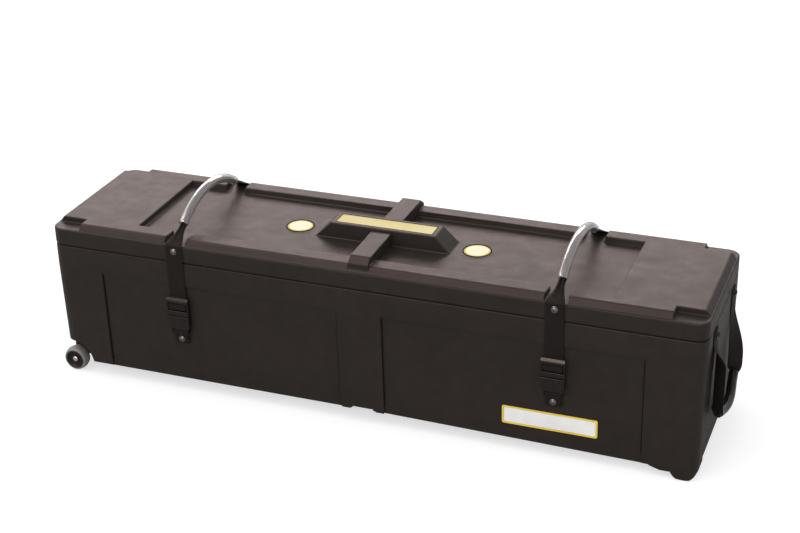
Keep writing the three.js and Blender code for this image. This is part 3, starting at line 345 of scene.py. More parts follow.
def hose_finish(name, clear, scuffed, ior):
    """Clear flexible hose, a little scuffed."""
    finish = Finish(name, IOR=ior, Transmission_Weight=hose_clearness)
    scuff = finish.noise(finish.place(), *hose_scuff)
    return finish.covered(
        finish.mixed(finish.spread(scuff, upper_span), opaque(*clear), opaque(*scuffed)),
        finish.spread(scuff, wide_span, hose_gloss),
        finish.bump(scuff, hose_relief),
    )


# Each plate's light and deep colours, the scale of their change, and its gloss
plates = {
    "plate_gold": ((0.74, 0.65, 0.36), (0.64, 0.53, 0.21), 9, (0.4, 0.55)),
    "label_yellow": ((0.82, 0.62, 0.10), (0.72, 0.50, 0.06), 30, (0.3, 0.42)),
    "label_white": ((0.86, 0.86, 0.85), (0.78, 0.77, 0.75), 25, (0.45, 0.6)),
}
plate_specular = 0.05
plate_speckle = (800, 3)
speckle_share = 0.2
plate_relief = (0.00004, 1.0)


def plate_finish(name, light, deep, scale, gloss):
    """Bare foil or lacquer, with a slow change of tone and fine speckle."""
    finish = Finish(name, Specular_IOR_Level=plate_specular)
    place = finish.place()
    slow = finish.spread(finish.noise(place, scale), core_span)
    speckle = finish.noise(place, *plate_speckle)
    tone = slow * (1 - speckle_share) + finish.spread(speckle, wide_span) * speckle_share
    return finish.covered(
        finish.mixed(tone, opaque(*light), opaque(*deep)),
        finish.spread(speckle, wide_span, gloss),
        finish.bump(speckle, plate_relief),
    )


badge_x = 0.187
badge_band_radius = 0.0225
badge_band_blur = 0.0006
badge_band_relief = (0.0002, 0.5)
badge_shades = (opaque(0.86, 0.80, 0.60), opaque(0.82, 0.74, 0.50))
badge_band_shade = opaque(0.62, 0.46, 0.08)
badge_gloss = (0.28, 0.42)
badge_speckle = (500, 3)


def badge_finish(side_name):
    """A plain cream disc with a yellow band round its edge."""
    finish = Finish("badge_" + side_name, Specular_IOR_Level=plate_specular)
    place = finish.place()
    flat = finish.add("ShaderNodeVectorMath", {"operation": "MULTIPLY"}, {0: place, 1: (1, 1, 0)})
    centre = (sides[side_name] * badge_x, 0, 0)
    distance = finish.add("ShaderNodeVectorMath", {"operation": "DISTANCE"}, {0: flat, 1: centre}, "Value")
    band_edge = (badge_band_radius - badge_band_blur, badge_band_radius + badge_band_blur)
    band = finish.spread(distance, band_edge)
    speckle = finish.noise(place, *badge_speckle)
    cream = finish.mixed(finish.spread(speckle, wide_span), *badge_shades)
    return finish.covered(
        finish.mixed(band, cream, badge_band_shade),
        finish.spread(speckle, wide_span, badge_gloss),
        finish.bump(band, badge_band_relief),
    )


def each_finish(make, looks):
    return [make(name, *look) for name, look in looks.items()]


moulding = moulding_finish()
webbing = webbing_finish()
buckle_plastic = buckle_finish()
tyre_grey = tyre_finish()
bright_metal, rivet_metal, black_metal, dull_metal = each_finish(metal_finish, metals)
clear_hose, smoky_hose = each_finish(hose_finish, hoses)
plate_gold, label_yellow, label_white = each_finish(plate_finish, plates)


# Making and finishing pieces. A model is shaped once, about the middle of the case or about its own axis.
# Its copies are the pieces, and the models are taken away at the end.

smooth_angle = math.radians(35)
merge_distance = 0.000001
models = []


def select_only(piece):
    bpy.ops.object.select_all(action="DESELECT")
    piece.select_set(True)
    bpy.context.view_layer.objects.active = piece


def edit_all(piece):
    select_only(piece)
    bpy.ops.object.mode_set(mode="EDIT")
    bpy.ops.mesh.select_all(action="SELECT")


def leave_edit():
    bpy.ops.object.mode_set(mode="OBJECT")


def apply_modifier(piece, kind, **settings):
    select_only(piece)
    modifier = piece.modifiers.new(kind.lower(), kind)
    for name, setting in settings.items():
        setattr(modifier, name, setting)
    bpy.ops.object.modifier_apply(modifier=modifier.name)


def new_model(vertices, edges=(), polygons=()):
    mesh = bpy.data.meshes.new("model")
    mesh.from_pydata(vertices, edges, polygons)
    model = bpy.data.objects.new("model", mesh)
    bpy.context.scene.collection.objects.link(model)
    models.append(model)
    return model


def turn_faces_out(model):
    """Points the faces of a closed model outwards, which the operator can get wrong on a ring. Ends the edit."""
    bpy.ops.mesh.normals_make_consistent(inside=False)
    if bmesh.from_edit_mesh(model.data).calc_volume(signed=True) < 0:
        bpy.ops.mesh.flip_normals()
    leave_edit()


def set_out(model, node, place=middle, outwards=upwards):
    """A copy of a model, with its own mesh, stood at a place with its upper side outwards."""
    piece = model.copy()
    piece.data = model.data.copy()
    piece.name = piece.data.name = "dressed_" + node
    turn = upwards.rotation_difference(outwards).to_matrix().to_4x4()
    piece.data.transform(Matrix.Translation(place) @ turn)
    bpy.context.scene.collection.objects.link(piece)
    return piece


def finished(piece, material, slot, body, *nodes):
    """Gives a piece its finish and its body, and lets it stand for its nodes. Its slot is not used."""
    piece.data.materials.clear()
    piece.data.materials.append(material)
    select_only(piece)
    bpy.ops.object.shade_smooth_by_angle(angle=smooth_angle)
    if body is not None:
        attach(piece, body)
    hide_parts(*nodes)
    return piece


def body_of_node(node):
    bodies = frame["record"]["behaviour"]["bodies"]
    return next(body for body, members in bodies.items() if node in members)


# Moulded pieces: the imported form, with its sharp edges rolled over as a mould leaves them

flat_angle = 0.0005
edge_angle = math.radians(28)
normal_tolerance = 0.05
face_share = 0.3
step_tolerance = 0.0004
shortest_step = 0.1


def anywhere(edge):
    return True


def on_lid_top(edge):
    """An outer edge of the lid's upper side, and not of the hollow under it."""
    height = (edge.verts[0].co.z + edge.verts[1].co.z) / 2
    rises = [face.normal.z for face in edge.link_faces]
    return height > ledge_z - rest_gap and min(rises) > -normal_tolerance and max(rises) > face_share


def on_step_edges(edge):
    """The long outer edges of the steps at the ends of the panels."""
    place = (edge.verts[0].co + edge.verts[1].co) / 2 - middle
    wall_y = half_depth - (band_z - place.z) * draft_share
    on_wall = abs(abs(place.y) - wall_y) < step_tolerance and place.z < band_z
    return on_wall and edge.is_convex and edge.calc_length() > shortest_step


def rounded(piece, width, steps, chosen):
    """Rolls over the sharp edges that are chosen."""
    edit_all(piece)
    bpy.ops.mesh.select_mode(type="EDGE")
    bpy.ops.mesh.select_all(action="DESELECT")
    shape = bmesh.from_edit_mesh(piece.data)
    for edge in shape.edges:
        if len(edge.link_faces) == 2 and edge.calc_face_angle() > edge_angle and chosen(edge):
            edge.select = True
    bmesh.update_edit_mesh(piece.data)
    bpy.ops.mesh.bevel(offset=width, segments=steps, clamp_overlap=False)
    leave_edit()


panel_end_x = 0.560
pilaster_half_width = 0.046
panel_top_slope = 0.009
foot_line_width = 0.0024
foot_line_depth = 0.0026
foot_line_overrun = 0.004
foot_line_low = 0.045
draft_angle = math.atan(draft_share)

# Each end step's foot, and the way from it into its panel
panel_feet = ((-panel_end_x, 1), (-pilaster_half_width, -1), (pilaster_half_width, 1), (panel_end_x, -1))


def cut_foot_lines(piece):
    """Cuts the line that stands dark at the foot of each panel's end step."""
    bars = []
    top = band_z - panel_top_slope
    height = (top - foot_line_low) / math.cos(draft_angle)
    centre_z = (top + foot_line_low) / 2
    depth = foot_line_depth + foot_line_overrun
    centre_y = half_depth - panel_depth - (band_z - centre_z) * draft_share - foot_line_depth + depth / 2
    bpy.ops.object.select_all(action="DESELECT")
    for face in faces.values():
        for x, inwards in panel_feet:
            centre = Vector((x + inwards * foot_line_width / 2, face * centre_y, centre_z))
            bpy.ops.mesh.primitive_cube_add(
                size=1, location=middle + centre, rotation=(-face * draft_angle, 0, 0),
                scale=(foot_line_width, depth, height),
            )
            bars.append(bpy.context.object)
    for bar in bars:
        bar.select_set(True)
    bpy.ops.object.join()
    joined = bpy.context.view_layer.objects.active
    apply_modifier(piece, "BOOLEAN", operation="DIFFERENCE", object=joined, solver="EXACT")
    bpy.data.objects.remove(joined)


def moulded(node, material, slot, width, steps, chosen=anywhere):
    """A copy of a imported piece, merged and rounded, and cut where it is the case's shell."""
    source = frame["nodes"][node]
    piece = source.copy()
    piece.data = source.data.copy()
    piece.name = "dressed_" + node
    piece.parent = None
    for key in list(piece.keys()):
        del piece[key]
    bpy.context.scene.collection.objects.link(piece)
    edit_all(piece)
    bpy.ops.mesh.remove_doubles(threshold=merge_distance)
    bpy.ops.mesh.dissolve_limited(angle_limit=flat_angle)
    leave_edit()
    if node == "case_shell":
        cut_foot_lines(piece)
    rounded(piece, width, steps, chosen)
    finished(piece, material, slot, body_of_node(node), node)
    apply_modifier(piece, "WEIGHTED_NORMAL", mode="FACE_AREA", keep_sharp=True)


# The width and the steps of the rounded edges
case_rounding = (0.0012, 2)
lid_rounding = (0.0026, 4)
plate_rounding = (0.0003, 2)
label_frame_rounding = (0.0004, 2)
buckle_frame_rounding = (0.0009, 3)
socket_rounding = (0.0008, 3)
prong_rounding = (0.0004, 2)

moulded("case_shell", moulding, "moulding", *case_rounding, on_step_edges)
moulded("lid_shell", moulding, "moulding", *lid_rounding, on_lid_top)
moulded("name_plate", plate_gold, "plate_gold", *plate_rounding)
moulded("label_frame", label_yellow, "label_yellow", *label_frame_rounding)
moulded("label_card", label_white, "label_white", *plate_rounding)
for side_name in sides:
    moulded("buckle_frame_" + side_name, buckle_plastic, "buckle_plastic", *buckle_frame_rounding)
    moulded("buckle_socket_" + side_name, buckle_plastic, "buckle_plastic", *socket_rounding)
    for prong_name in ("a", "b"):
        prong = "buckle_prong_{}_{}".format(side_name, prong_name)
        moulded(prong, buckle_plastic, "buckle_plastic", *prong_rounding)


# Turned pieces

turning_steps = 48
badge_turning_steps = 72
hub_turning_steps = 72
tyre_turning_steps = 96


def turned(profile, steps=turning_steps):
    """A model that is spun from a profile of (radius, height) points."""
    points = [(radius, 0, height) for radius, height in profile]
    model = new_model(points, [(index, index + 1) for index in range(len(points) - 1)])
    edit_all(model)
    bpy.ops.mesh.spin(steps=steps, angle=math.tau, center=(0, 0, 0), axis=upwards)
    bpy.ops.mesh.select_all(action="SELECT")
    bpy.ops.mesh.remove_doubles(threshold=merge_distance)
    turn_faces_out(model)
    return model


def arc(centre, radius, start, end, steps):
    """(first, second) points round a centre, from one angle in degrees to another."""
    angles = (math.radians(start + (end - start) * step / steps) for step in range(steps + 1))
    return [
        (centre[0] + radius * math.cos(angle), centre[1] + radius * math.sin(angle)) for angle in angles
    ]


# Rivets and bolts. The grip is the way from under the washer to the inner face of the wall.
rivet_radius = 0.005
rivet_height = 0.003
rivet_shank_radius = 0.0016
washer_rim = 0.0007
washer_reach = 0.0017
dimple_radius = 0.0022
dimple_depth = 0.0013
pin_radius = 0.0012
pin_height = 0.0009
pin_steps = 4
dome_start = 80
dome_steps = 8
flange_radius = 0.006
flange_thickness = 0.0012


def rivet_model(grip, height=rivet_height):
    """A blind rivet: a dished head round its broken pin, on a thin washer, and a flange inside the wall."""
    dimple_floor = height - dimple_depth
    pin = arc((0, 0), 1, 90, 0, pin_steps)
    dome = arc((0, 0), 1, dome_start, 0, dome_steps)
    dome_reach = rivet_radius - dimple_radius
    dome_rise = height - washer_rim
    return turned([
        *((x * pin_radius, dimple_floor + y * pin_height) for x, y in pin),
        (dimple_radius, dimple_floor),
        *((dimple_radius + x * dome_reach, washer_rim + y * dome_rise) for x, y in dome),
        (rivet_radius + washer_reach - washer_rim / 2, washer_rim),
        (rivet_radius + washer_reach, washer_rim / 2),
        (rivet_radius + washer_reach, 0),
        (rivet_shank_radius, 0),
        (rivet_shank_radius, -grip),
        (flange_radius, -grip),
        (flange_radius, -grip - flange_thickness),
        (0, -grip - flange_thickness),
    ])


def set_rivet(model, node, place, outwards, metal=rivet_metal):
    rivet = set_out(model, node, middle + Vector(place), outwards)
    finished(rivet, metal, "bright_metal", body_of_node(node), node)


strap_x = 0.389
strap_rivet_y = half_depth + strap_thickness + 2 * rest_gap
strap_rivet_grip = strap_rivet_y - half_depth + case_wall + rest_gap
lid_rivet_z = 0.322
hinge_rivet_drop = 0.024
hinge_rivet_z = parting_z - hinge_rivet_drop
tab_rivet_drop = 0.125
tab_rivet_y = -(2 * strap_thickness + 3 * rest_gap)
hang_angle = math.atan(panel_depth / tab_rivet_drop + draft_share)
hang_turn = Matrix.Rotation(hang_angle, 3, "X")
tab_rivet_grip = -tab_rivet_y + case_wall / math.cos(hang_angle) + rest_gap


def hanging(y, z):
    """(y, z) of a point of the hanging strap, given out from the wall and up from the band's lower edge."""
    point = hang_turn @ Vector((0, y, z))
    return (point.y - half_depth, point.z + band_z)


strap_rivet = rivet_model(strap_rivet_grip)
tab_rivet = rivet_model(tab_rivet_grip)
for side_name, side in sides.items():
    x = side * strap_x
    for face_name, face in faces.items():
        node = "lid_rivet_{}_{}".format(face_name, side_name)
        set_rivet(strap_rivet, node, (x, face * strap_rivet_y, lid_rivet_z), face * backwards)
    set_rivet(strap_rivet, "hinge_rivet_" + side_name, (x, strap_rivet_y, hinge_rivet_z), backwards)
    tab_place = (x, *hanging(tab_rivet_y, -tab_rivet_drop))
    set_rivet(tab_rivet, "tab_rivet_" + side_name, tab_place, hang_turn @ -backwards)

# Badges: plain domed discs
badge_radius = 0.026
badge_edge = 0.001
badge_crown = 0.0009
badge_crown_steps = 10

badge_dome = arc((0, 0), 1, 90, 0, badge_crown_steps)
badge = turned([
    *((badge_radius * x, badge_edge + badge_crown * y) for x, y in badge_dome),
    (badge_radius, 0),
    (0, 0),
], badge_turning_steps)
for side_name, side in sides.items():
    node = "badge_disc_" + side_name
    disc = set_out(badge, node, middle + Vector((side * badge_x, 0, ledge_z + rest_gap)))
    finished(disc, badge_finish(side_name), "badge_cream", "lid", node)

# Wheels, washers and axle. Their profiles go outwards along the axle from the middle of the case.
wheel_radius = 0.026
wheel_width = 0.025
tyre_thickness = 0.006
tyre_crown = 0.0016
tyre_crown_steps = 8
tyre_round = 0.004
tyre_round_steps = 5
tyre_bead = 0.001
arch_depth = 0.036
axle_inset = 0.015
axle_radius = 0.004
hub_lip = 0.003
hub_edge = 0.0005
hub_knee_inset = 0.0045
hub_knee_rise = 0.001
hub_floor_inset = 0.0054
hub_dish = 0.007
hub_boss_radius = 0.008
washer_radius = 0.009
washer_thickness = 0.002
washer_edge = 0.0003
cap_radius = 0.006
cap_height = 0.004
cap_dome_steps = 8
cap_hollow_shares = (0.7, 0.5)
washer_y = half_depth - arch_depth + rest_gap
washer_outer_y = washer_y + washer_thickness
wheel_inner_y = washer_outer_y + rest_gap
wheel_outer_y = wheel_inner_y + wheel_width
hub_radius = wheel_radius - tyre_thickness
boss_face_y = wheel_outer_y - hub_dish + hub_lip
axle_bore = axle_radius + rest_gap


def tyre_profile():
    tread = wheel_radius - tyre_crown
    shoulder = tread - tyre_round
    crown_half = wheel_width / 2 - tyre_round
    shares = [1 - 2 * step / tyre_crown_steps for step in range(1, tyre_crown_steps)]
    crown = [(
        tread + tyre_crown * math.cos(math.pi / 2 * share),
        wheel_inner_y + wheel_width / 2 + share * crown_half,
    ) for share in shares]
    return [
        (hub_radius, wheel_inner_y),
        (hub_radius, wheel_outer_y),
        (hub_radius + tyre_bead, wheel_outer_y),
        *arc((shoulder, wheel_outer_y - tyre_round), tyre_round, 90, 0, tyre_round_steps),
        *crown,
        *arc((shoulder, wheel_inner_y + tyre_round), tyre_round, 0, -90, tyre_round_steps),
        (hub_radius, wheel_inner_y),
    ]


def hub_profile():
    """A dished hub, with a lip round its rim and a boss round the axle."""
    rim_radius = hub_radius - rest_gap
    dish_y = wheel_outer_y - hub_dish
    return [
        (axle_bore, wheel_inner_y),
        (rim_radius, wheel_inner_y),
        (rim_radius, wheel_outer_y - rest_gap),
        (rim_radius - hub_edge, wheel_outer_y),
        (rim_radius - hub_lip + hub_edge, wheel_outer_y),
        (rim_radius - hub_lip, wheel_outer_y - hub_edge),
        (rim_radius - hub_knee_inset, dish_y + hub_knee_rise),
        (rim_radius - hub_floor_inset, dish_y),
        (hub_boss_radius + hub_edge, dish_y),
        (hub_boss_radius, dish_y + hub_edge),
        (hub_boss_radius - hub_edge, boss_face_y),
        (axle_bore, boss_face_y),
        (axle_bore, wheel_inner_y),
    ]


def washer_profile():
    return [
        (axle_bore, washer_y),
        (washer_radius - washer_edge, washer_y),
        (washer_radius, washer_y + washer_edge),
        (washer_radius, washer_outer_y - washer_edge),
        (washer_radius - washer_edge, washer_outer_y),
        (axle_bore, washer_outer_y),
        (axle_bore, washer_y),
    ]


def cap_profile():
    """A domed push-on cap, hollow over the end of the axle."""
    start = boss_face_y + rest_gap
    collar = cap_height / 3
    dome = arc((0, 0), 1, 0, 90, cap_dome_steps)[:-1]
    hollow_centre, hollow_edge = (start + cap_height * share for share in cap_hollow_shares)
    return [
        (axle_bore, start),
        (cap_radius, start),
        *((cap_radius * x, start + collar + (cap_height - collar) * y) for x, y in dome),
        (0, start + cap_height),
        (0, hollow_centre),
        (axle_bore, hollow_edge),
        (axle_bore, start),
    ]


tyre = turned(tyre_profile(), tyre_turning_steps)
hub = turned(hub_profile(), hub_turning_steps)
axle_washer = turned(washer_profile())
axle_cap = turned(cap_profile())
for face_name, face in faces.items():
    place = middle + Vector((axle_inset - half_length, 0, wheel_radius))
    wheel = "wheel_" + face_name
    for model, stem, material, slot, body in (
        (tyre, "wheel_tyre_", tyre_grey, "tyre_grey", wheel),
        (hub, "wheel_hub_", moulding, "moulding", wheel),
        (axle_washer, "axle_washer_", dull_metal, "dull_metal", "case"),
        (axle_cap, "axle_cap_", bright_metal, "bright_metal", "case"),
    ):
        node = stem + face_name
        finished(set_out(model, node, place, face * backwards), material, slot, body, node)

axle_rod = frame["nodes"]["axle_rod"]
axle_rod.data.materials.clear()
axle_rod.data.materials.append(dull_metal)


# Webbing

full_width = 0.038
gathered_width = 0.0138
gathered_pleat = 0.0022
band_columns = 12
selvedge_power = 8


def rounded_edge(share):
    """The thickness of a band as a share, from its middle out to its edge."""
    return math.sqrt(max(1 - abs(share) ** selvedge_power, 0))


def band(stations):
    """A woven band. A station is (centre, across, out, width, pleat), where pleat is the folds' height."""
    shares = [-math.cos(math.pi * column / band_columns) for column in range(band_columns + 1)]
    section = [(share, 1) for share in shares] + [(share, -1) for share in reversed(shares[1:-1])]
    count = len(section)
    vertices = []
    lengths = [0.0]
    for index, (centre, across, out, width, pleat) in enumerate(stations):
        if index:
            lengths.append(lengths[-1] + (centre - stations[index - 1][0]).length)
        for share, face in section:
            fold = pleat * math.cos(math.tau * share)
            rise = fold + face * strap_thickness / 2 * rounded_edge(share)
            vertices.append(centre + across * (width / 2 * share) + out * rise)
    polygons = []
    places = []
    for row in range(len(stations) - 1):
        for column in range(count):
            following = (column + 1) % count
            polygons.append((
                row * count + column,
                row * count + following,
                (row + 1) * count + following,
                (row + 1) * count + column,
            ))
            near, far = (full_width / 2 * section[corner][0] for corner in (column, following))
            start, end = lengths[row:row + 2]
            places += [(near, start), (far, start), (far, end), (near, end)]
    for first, length in ((0, lengths[0]), ((len(stations) - 1) * count, lengths[-1])):
        polygons.append(tuple(range(first, first + count)))
        places += [(full_width / 2 * share, length) for share, _ in section]
    model = new_model(vertices, (), polygons)
    layer = model.data.uv_layers.new(name="band")
    layer.data.foreach_set("uv", [number for pair in places for number in pair])
    edit_all(model)
    turn_faces_out(model)
    return model


corner_cut = 0.25
corner_rounds = 2


def part_way(first, second, share):
    return tuple(a * (1 - share) + b * share for a, b in zip(first, second))


def rounded_route(points):
    """Cuts the corners of a route, keeping its ends."""
    for _ in range(corner_rounds):
        cut = [points[0]]
        for first, second in zip(points, points[1:]):
            cut.append(part_way(first, second, corner_cut))
            cut.append(part_way(first, second, 1 - corner_cut))
        points = [*cut, points[-1]]
    return points


def level_stations(route):
    """Stations of a band that keeps to the middle, from (y, z, width, pleat) points."""
    stations = []
    for index, (y, z, width, pleat) in enumerate(route):
        before = route[max(index - 1, 0)]
        after = route[min(index + 1, len(route) - 1)]
        along = Vector((0, after[0] - before[0], after[1] - before[1])).normalized()
        stations.append((Vector((0, y, z)), rightwards, along.cross(rightwards), width, pleat))
    return stations


strap_offset = rest_gap + strap_thickness / 2
strap_bend_radius = 0.003
strap_bend_steps = 6
strap_rise = 62
hose_radius = 0.0095
hose_wall = 0.0021
hose_half_span = 0.115
hose_mouth_z = 0.361
hose_rise = 0.037
hose_arc_radius = (hose_half_span ** 2 + hose_rise ** 2) / (2 * hose_rise)
hose_arc_z = hose_mouth_z + hose_rise - hose_arc_radius
hose_half_angle = math.asin(hose_half_span / hose_arc_radius)
strap_hose_steps = 40
carry_hose_steps = 24

# On its way from the lid's edge to the hose: shares of the way, of the narrowing and of the pleats
gather_shares = ((0.0, 0.0, 0.0), (0.3, 0.4125, 0.375), (0.65, 0.89375, 0.8125))

# Buckle heights on the hanging strap, and the strap's layers out from the wall
buckle_top = -0.029
frame_top_bar = 0.011
frame_slot = 0.006
frame_mid_bar = 0.005
frame_lower_slot = 0.007
frame_base_bar = 0.010
frame_bar_thickness = 0.003
frame_back = 2 * strap_thickness + 3 * rest_gap
socket_gap = 0.002
socket_length = 0.039
socket_bar = 0.004
mid_bar_top = buckle_top - frame_top_bar - frame_slot
mid_bar_bottom = mid_bar_top - frame_mid_bar
first_layer = -strap_offset
second_layer = first_layer - strap_thickness - rest_gap
front_layer = -(frame_back + frame_bar_thickness + rest_gap + strap_thickness / 2)
loop_steps = 8


def carry_arc(steps):
    """(y, z) points along a carry handle's hose, from front to back."""
    angles = (hose_half_angle * (1 - 2 * step / steps) for step in range(steps + 1))
    return [
        (-hose_arc_radius * math.sin(angle), hose_arc_z + hose_arc_radius * math.cos(angle))
        for angle in angles
    ]


def over_edge(face):
    """Up the wall, round the lid's edge and on to the mouth of the hose."""
    centre = (half_depth + strap_offset - strap_bend_radius, ledge_z + strap_offset - strap_bend_radius)
    bend = arc(centre, strap_bend_radius, 0, strap_rise, strap_bend_steps)
    last_y, last_z = bend[-1]
    points = [(face * y, z, full_width, 0.0) for y, z in bend]
    for way, narrowing, folding in gather_shares:
        points.append((
            face * (last_y + (hose_half_span - last_y) * way),
            last_z + (hose_mouth_z - last_z) * way,
            full_width + (gathered_width - full_width) * narrowing,
            gathered_pleat * folding,
        ))
    return points


hinge_webbing_length = 0.040
hinge_overlap = 0.016
hinge_rows = 40
hinge_seam_z = parting_z + hinge_overlap
wall_y = half_depth + strap_offset


def strap_route():
    """From the loop in the buckle, up the front, through the hose and down the back to the hinge's seam."""
    lower = (first_layer - front_layer) / 2
    upper = (second_layer - front_layer) / 2
    loop = [
        *arc((first_layer - lower, mid_bar_bottom - turning_gap), lower, 0, -180, loop_steps),
        *arc((second_layer - upper, mid_bar_top + turning_gap), upper, 180, 0, loop_steps),
        (second_layer, buckle_top + strap_bend_radius),
    ]
    return [
        *((*hanging(y, z), full_width, 0.0) for y, z in reversed(loop)),
        (-wall_y, band_z + strap_thickness, full_width, 0.0),
        *over_edge(-1),
        *((y, z, gathered_width, gathered_pleat) for y, z in carry_arc(strap_hose_steps)),
        *reversed(over_edge(1)),
        (wall_y, hinge_seam_z, full_width, 0.0),
    ]


def hinge_route():
    length = hinge_overlap + rest_gap + hinge_webbing_length
    heights = (hinge_seam_z - length * row / hinge_rows for row in range(hinge_rows + 1))
    return [(wall_y, z, full_width, 0.0) for z in heights]


strap = band(level_stations(rounded_route(strap_route())))
hinge = band(level_stations(hinge_route()))
for side_name, side in sides.items():
    across = middle + side * strap_x * rightwards
    node = "strap_" + side_name
    finished(set_out(strap, node, across), webbing, "webbing", "lid", node)

    node = "hinge_webbing_" + side_name
    fold = finished(set_out(hinge, node, across), webbing, "webbing", None, node)
    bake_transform(fold)

# Tabs on the sockets: webbing looped over the socket's bar and riveted to the case
tab_width = 0.032
tab_end_margin = 0.009
tab_loop_steps = 10
socket_bottom = mid_bar_bottom - frame_lower_slot - frame_base_bar - socket_gap - socket_length
socket_slot_bottom = socket_bottom + socket_bar


def tab_route():
    loop_radius = (second_layer - front_layer) / 2
    loop_centre = (second_layer - loop_radius, socket_slot_bottom + turning_gap)
    end_z = -tab_rivet_drop - tab_end_margin
    meet_z = -tab_rivet_drop + tab_end_margin
    return [
        (first_layer, end_z),
        (first_layer, meet_z),
        (second_layer, socket_bottom - 2 * turning_gap),
        *arc(loop_centre, loop_radius, 0, 180, tab_loop_steps),
        (front_layer, socket_bottom - 2 * turning_gap),
        (second_layer, meet_z),
        (second_layer, end_z),
    ]


tab = band(level_stations(rounded_route([(*hanging(y, z), tab_width, 0.0) for y, z in tab_route()])))
for side_name, side in sides.items():
    node = "buckle_tab_" + side_name
    piece = set_out(tab, node, middle + side * strap_x * rightwards)
    finished(piece, webbing, "webbing", "case", node)


# Hoses

hose_bevel_steps = 8
hose_resolution = 4
hose_order = 4
hose_rim = 0.0004
hose_rim_steps = 2
hose_rim_angle = math.radians(60)


def hose(points):
    """A hose along a smooth curve, with its wall and bore."""
    curve = bpy.data.curves.new("route", "CURVE")
    curve.dimensions = "3D"
    curve.twist_mode = "MINIMUM"
    curve.bevel_depth = hose_radius
    curve.bevel_resolution = hose_bevel_steps
    curve.resolution_u = hose_resolution
    spline = curve.splines.new("NURBS")
    spline.points.add(len(points) - 1)
    spline.use_endpoint_u = True
    spline.order_u = hose_order
    for point, place in zip(spline.points, points):
        point.co = (*place, 1)
    route = bpy.data.objects.new("model", curve)
    bpy.context.scene.collection.objects.link(route)
    select_only(route)
    bpy.ops.object.convert(target="MESH")
    model = bpy.context.view_layer.objects.active
    models.append(model)
    edit_all(model)
    bpy.ops.mesh.remove_doubles(threshold=merge_distance)
    bpy.ops.mesh.normals_make_consistent(inside=False)
    leave_edit()
    apply_modifier(model, "SOLIDIFY", thickness=hose_wall, offset=-1, use_even_offset=True)
    apply_modifier(
        model, "BEVEL", width=hose_rim, segments=hose_rim_steps,
        limit_method="ANGLE", angle_limit=hose_rim_angle,
    )
    return model


carry_hose = hose([Vector((0, y, z)) for y, z in carry_arc(carry_hose_steps)])
for side_name, side in sides.items():
    node = "carry_hose_" + side_name
    piece = set_out(carry_hose, node, middle + side * strap_x * rightwards)
    finished(piece, clear_hose, "clear_hose", "lid", node)

# Drop handle
drop_anchor_y = 0.088
drop_anchor_z = 0.281
drop_tab_top = 0.010
drop_tab_steps = 6
drop_tab_corner_share = 0.8
drop_pivot_drop = 0.011
drop_pivot_z = drop_anchor_z - drop_pivot_drop
drop_leg_steps = 36
drop_bend_steps = 12
drop_bend_radius = 0.014
drop_turn = math.radians(40)
drop_turn_shares = {-1: (0.02, 0.35), 1: (0.1, 0.9)}
drop_grip_x = 0.684
drop_grip_bow = 0.006
drop_grip_z = 0.112
drop_grip_half = 0.080
drop_grip_sag = 0.018
drop_grip_steps = 24
drop_hose_steps = 20
drop_bend_end = math.pi / 2 - math.atan(2 * drop_grip_sag / drop_grip_half)


def eased(value, low=0.0, high=1.0):
    share = min(max((value - low) / (high - low), 0), 1)
    return share * share * (3 - 2 * share)


def drop_station(side, centre, lean, turn, width=full_width, pleat=0.0):
    beside = Vector((0, side * math.cos(lean), -math.sin(lean)))
    across = rightwards * math.sin(turn) + beside * math.cos(turn)
    through = beside * math.sin(turn) - rightwards * math.cos(turn)
    return (centre, across, through, width, pleat)


def grip_point(share):
    """A point of the grip, from its front end at -1 to its rear end at 1."""
    belly = 1 - share * share
    return Vector((
        drop_grip_x + drop_grip_bow * belly ** 2,
        share * drop_grip_half,
        drop_grip_z - drop_grip_sag * belly,
    ))


def leg_x(turn):
    """Where the middle of a leg stands when its edge rests on the end wall."""
    lift = full_width / 2 * math.sin(turn) + strap_thickness / 2 * math.cos(turn)
    return half_length + rest_gap + lift + turning_gap * turn / drop_turn


def drop_half(side):
    """From the top of a tab down its leg and round the bend to the grip."""
    leg_y = drop_grip_half + drop_bend_radius * (1 - math.cos(drop_bend_end))
    leg_bottom = drop_grip_z + drop_bend_radius * math.sin(drop_bend_end)
    tab_top = drop_anchor_z + drop_tab_top
    stations = []
    for step in range(drop_tab_steps):
        z = tab_top + (drop_pivot_z - tab_top) * step / drop_tab_steps
        corner = 1 if step else drop_tab_corner_share
        centre = Vector((leg_x(0), side * drop_anchor_y, z))
        stations.append(drop_station(side, centre, 0, 0, full_width * corner))
    for step in range(drop_leg_steps + 1):
        share = step / drop_leg_steps
        turn = eased(share, *drop_turn_shares[side]) * drop_turn
        y = drop_anchor_y + (leg_y - drop_anchor_y) * eased(share)
        centre = Vector((leg_x(turn), side * y, drop_pivot_z + (leg_bottom - drop_pivot_z) * share))
        stations.append(drop_station(side, centre, 0, turn))
    for step in range(1, drop_bend_steps + 1):
        share = step / drop_bend_steps
        lean = share * drop_bend_end
        centre = Vector((
            leg_x(drop_turn) + (drop_grip_x - leg_x(drop_turn)) * share,
            side * (leg_y - drop_bend_radius * (1 - math.cos(lean))),
            leg_bottom - drop_bend_radius * math.sin(lean),
        ))
        turn = drop_turn + (math.pi / 2 - drop_turn) * share
        width = full_width + (gathered_width - full_width) * share
        stations.append(drop_station(side, centre, lean, turn, width, gathered_pleat * share))
    return stations


def drop_grip_stations():
    stations = []
    for step in range(1, drop_grip_steps):
        share = step / drop_grip_steps * 2 - 1
        reach = 1 / drop_grip_steps
        along = (grip_point(share + reach) - grip_point(share - reach)).normalized()
        across = (rightwards - along * rightwards.dot(along)).normalized()
        stations.append((grip_point(share), across, along.cross(across), gathered_width, gathered_pleat))
    return stations


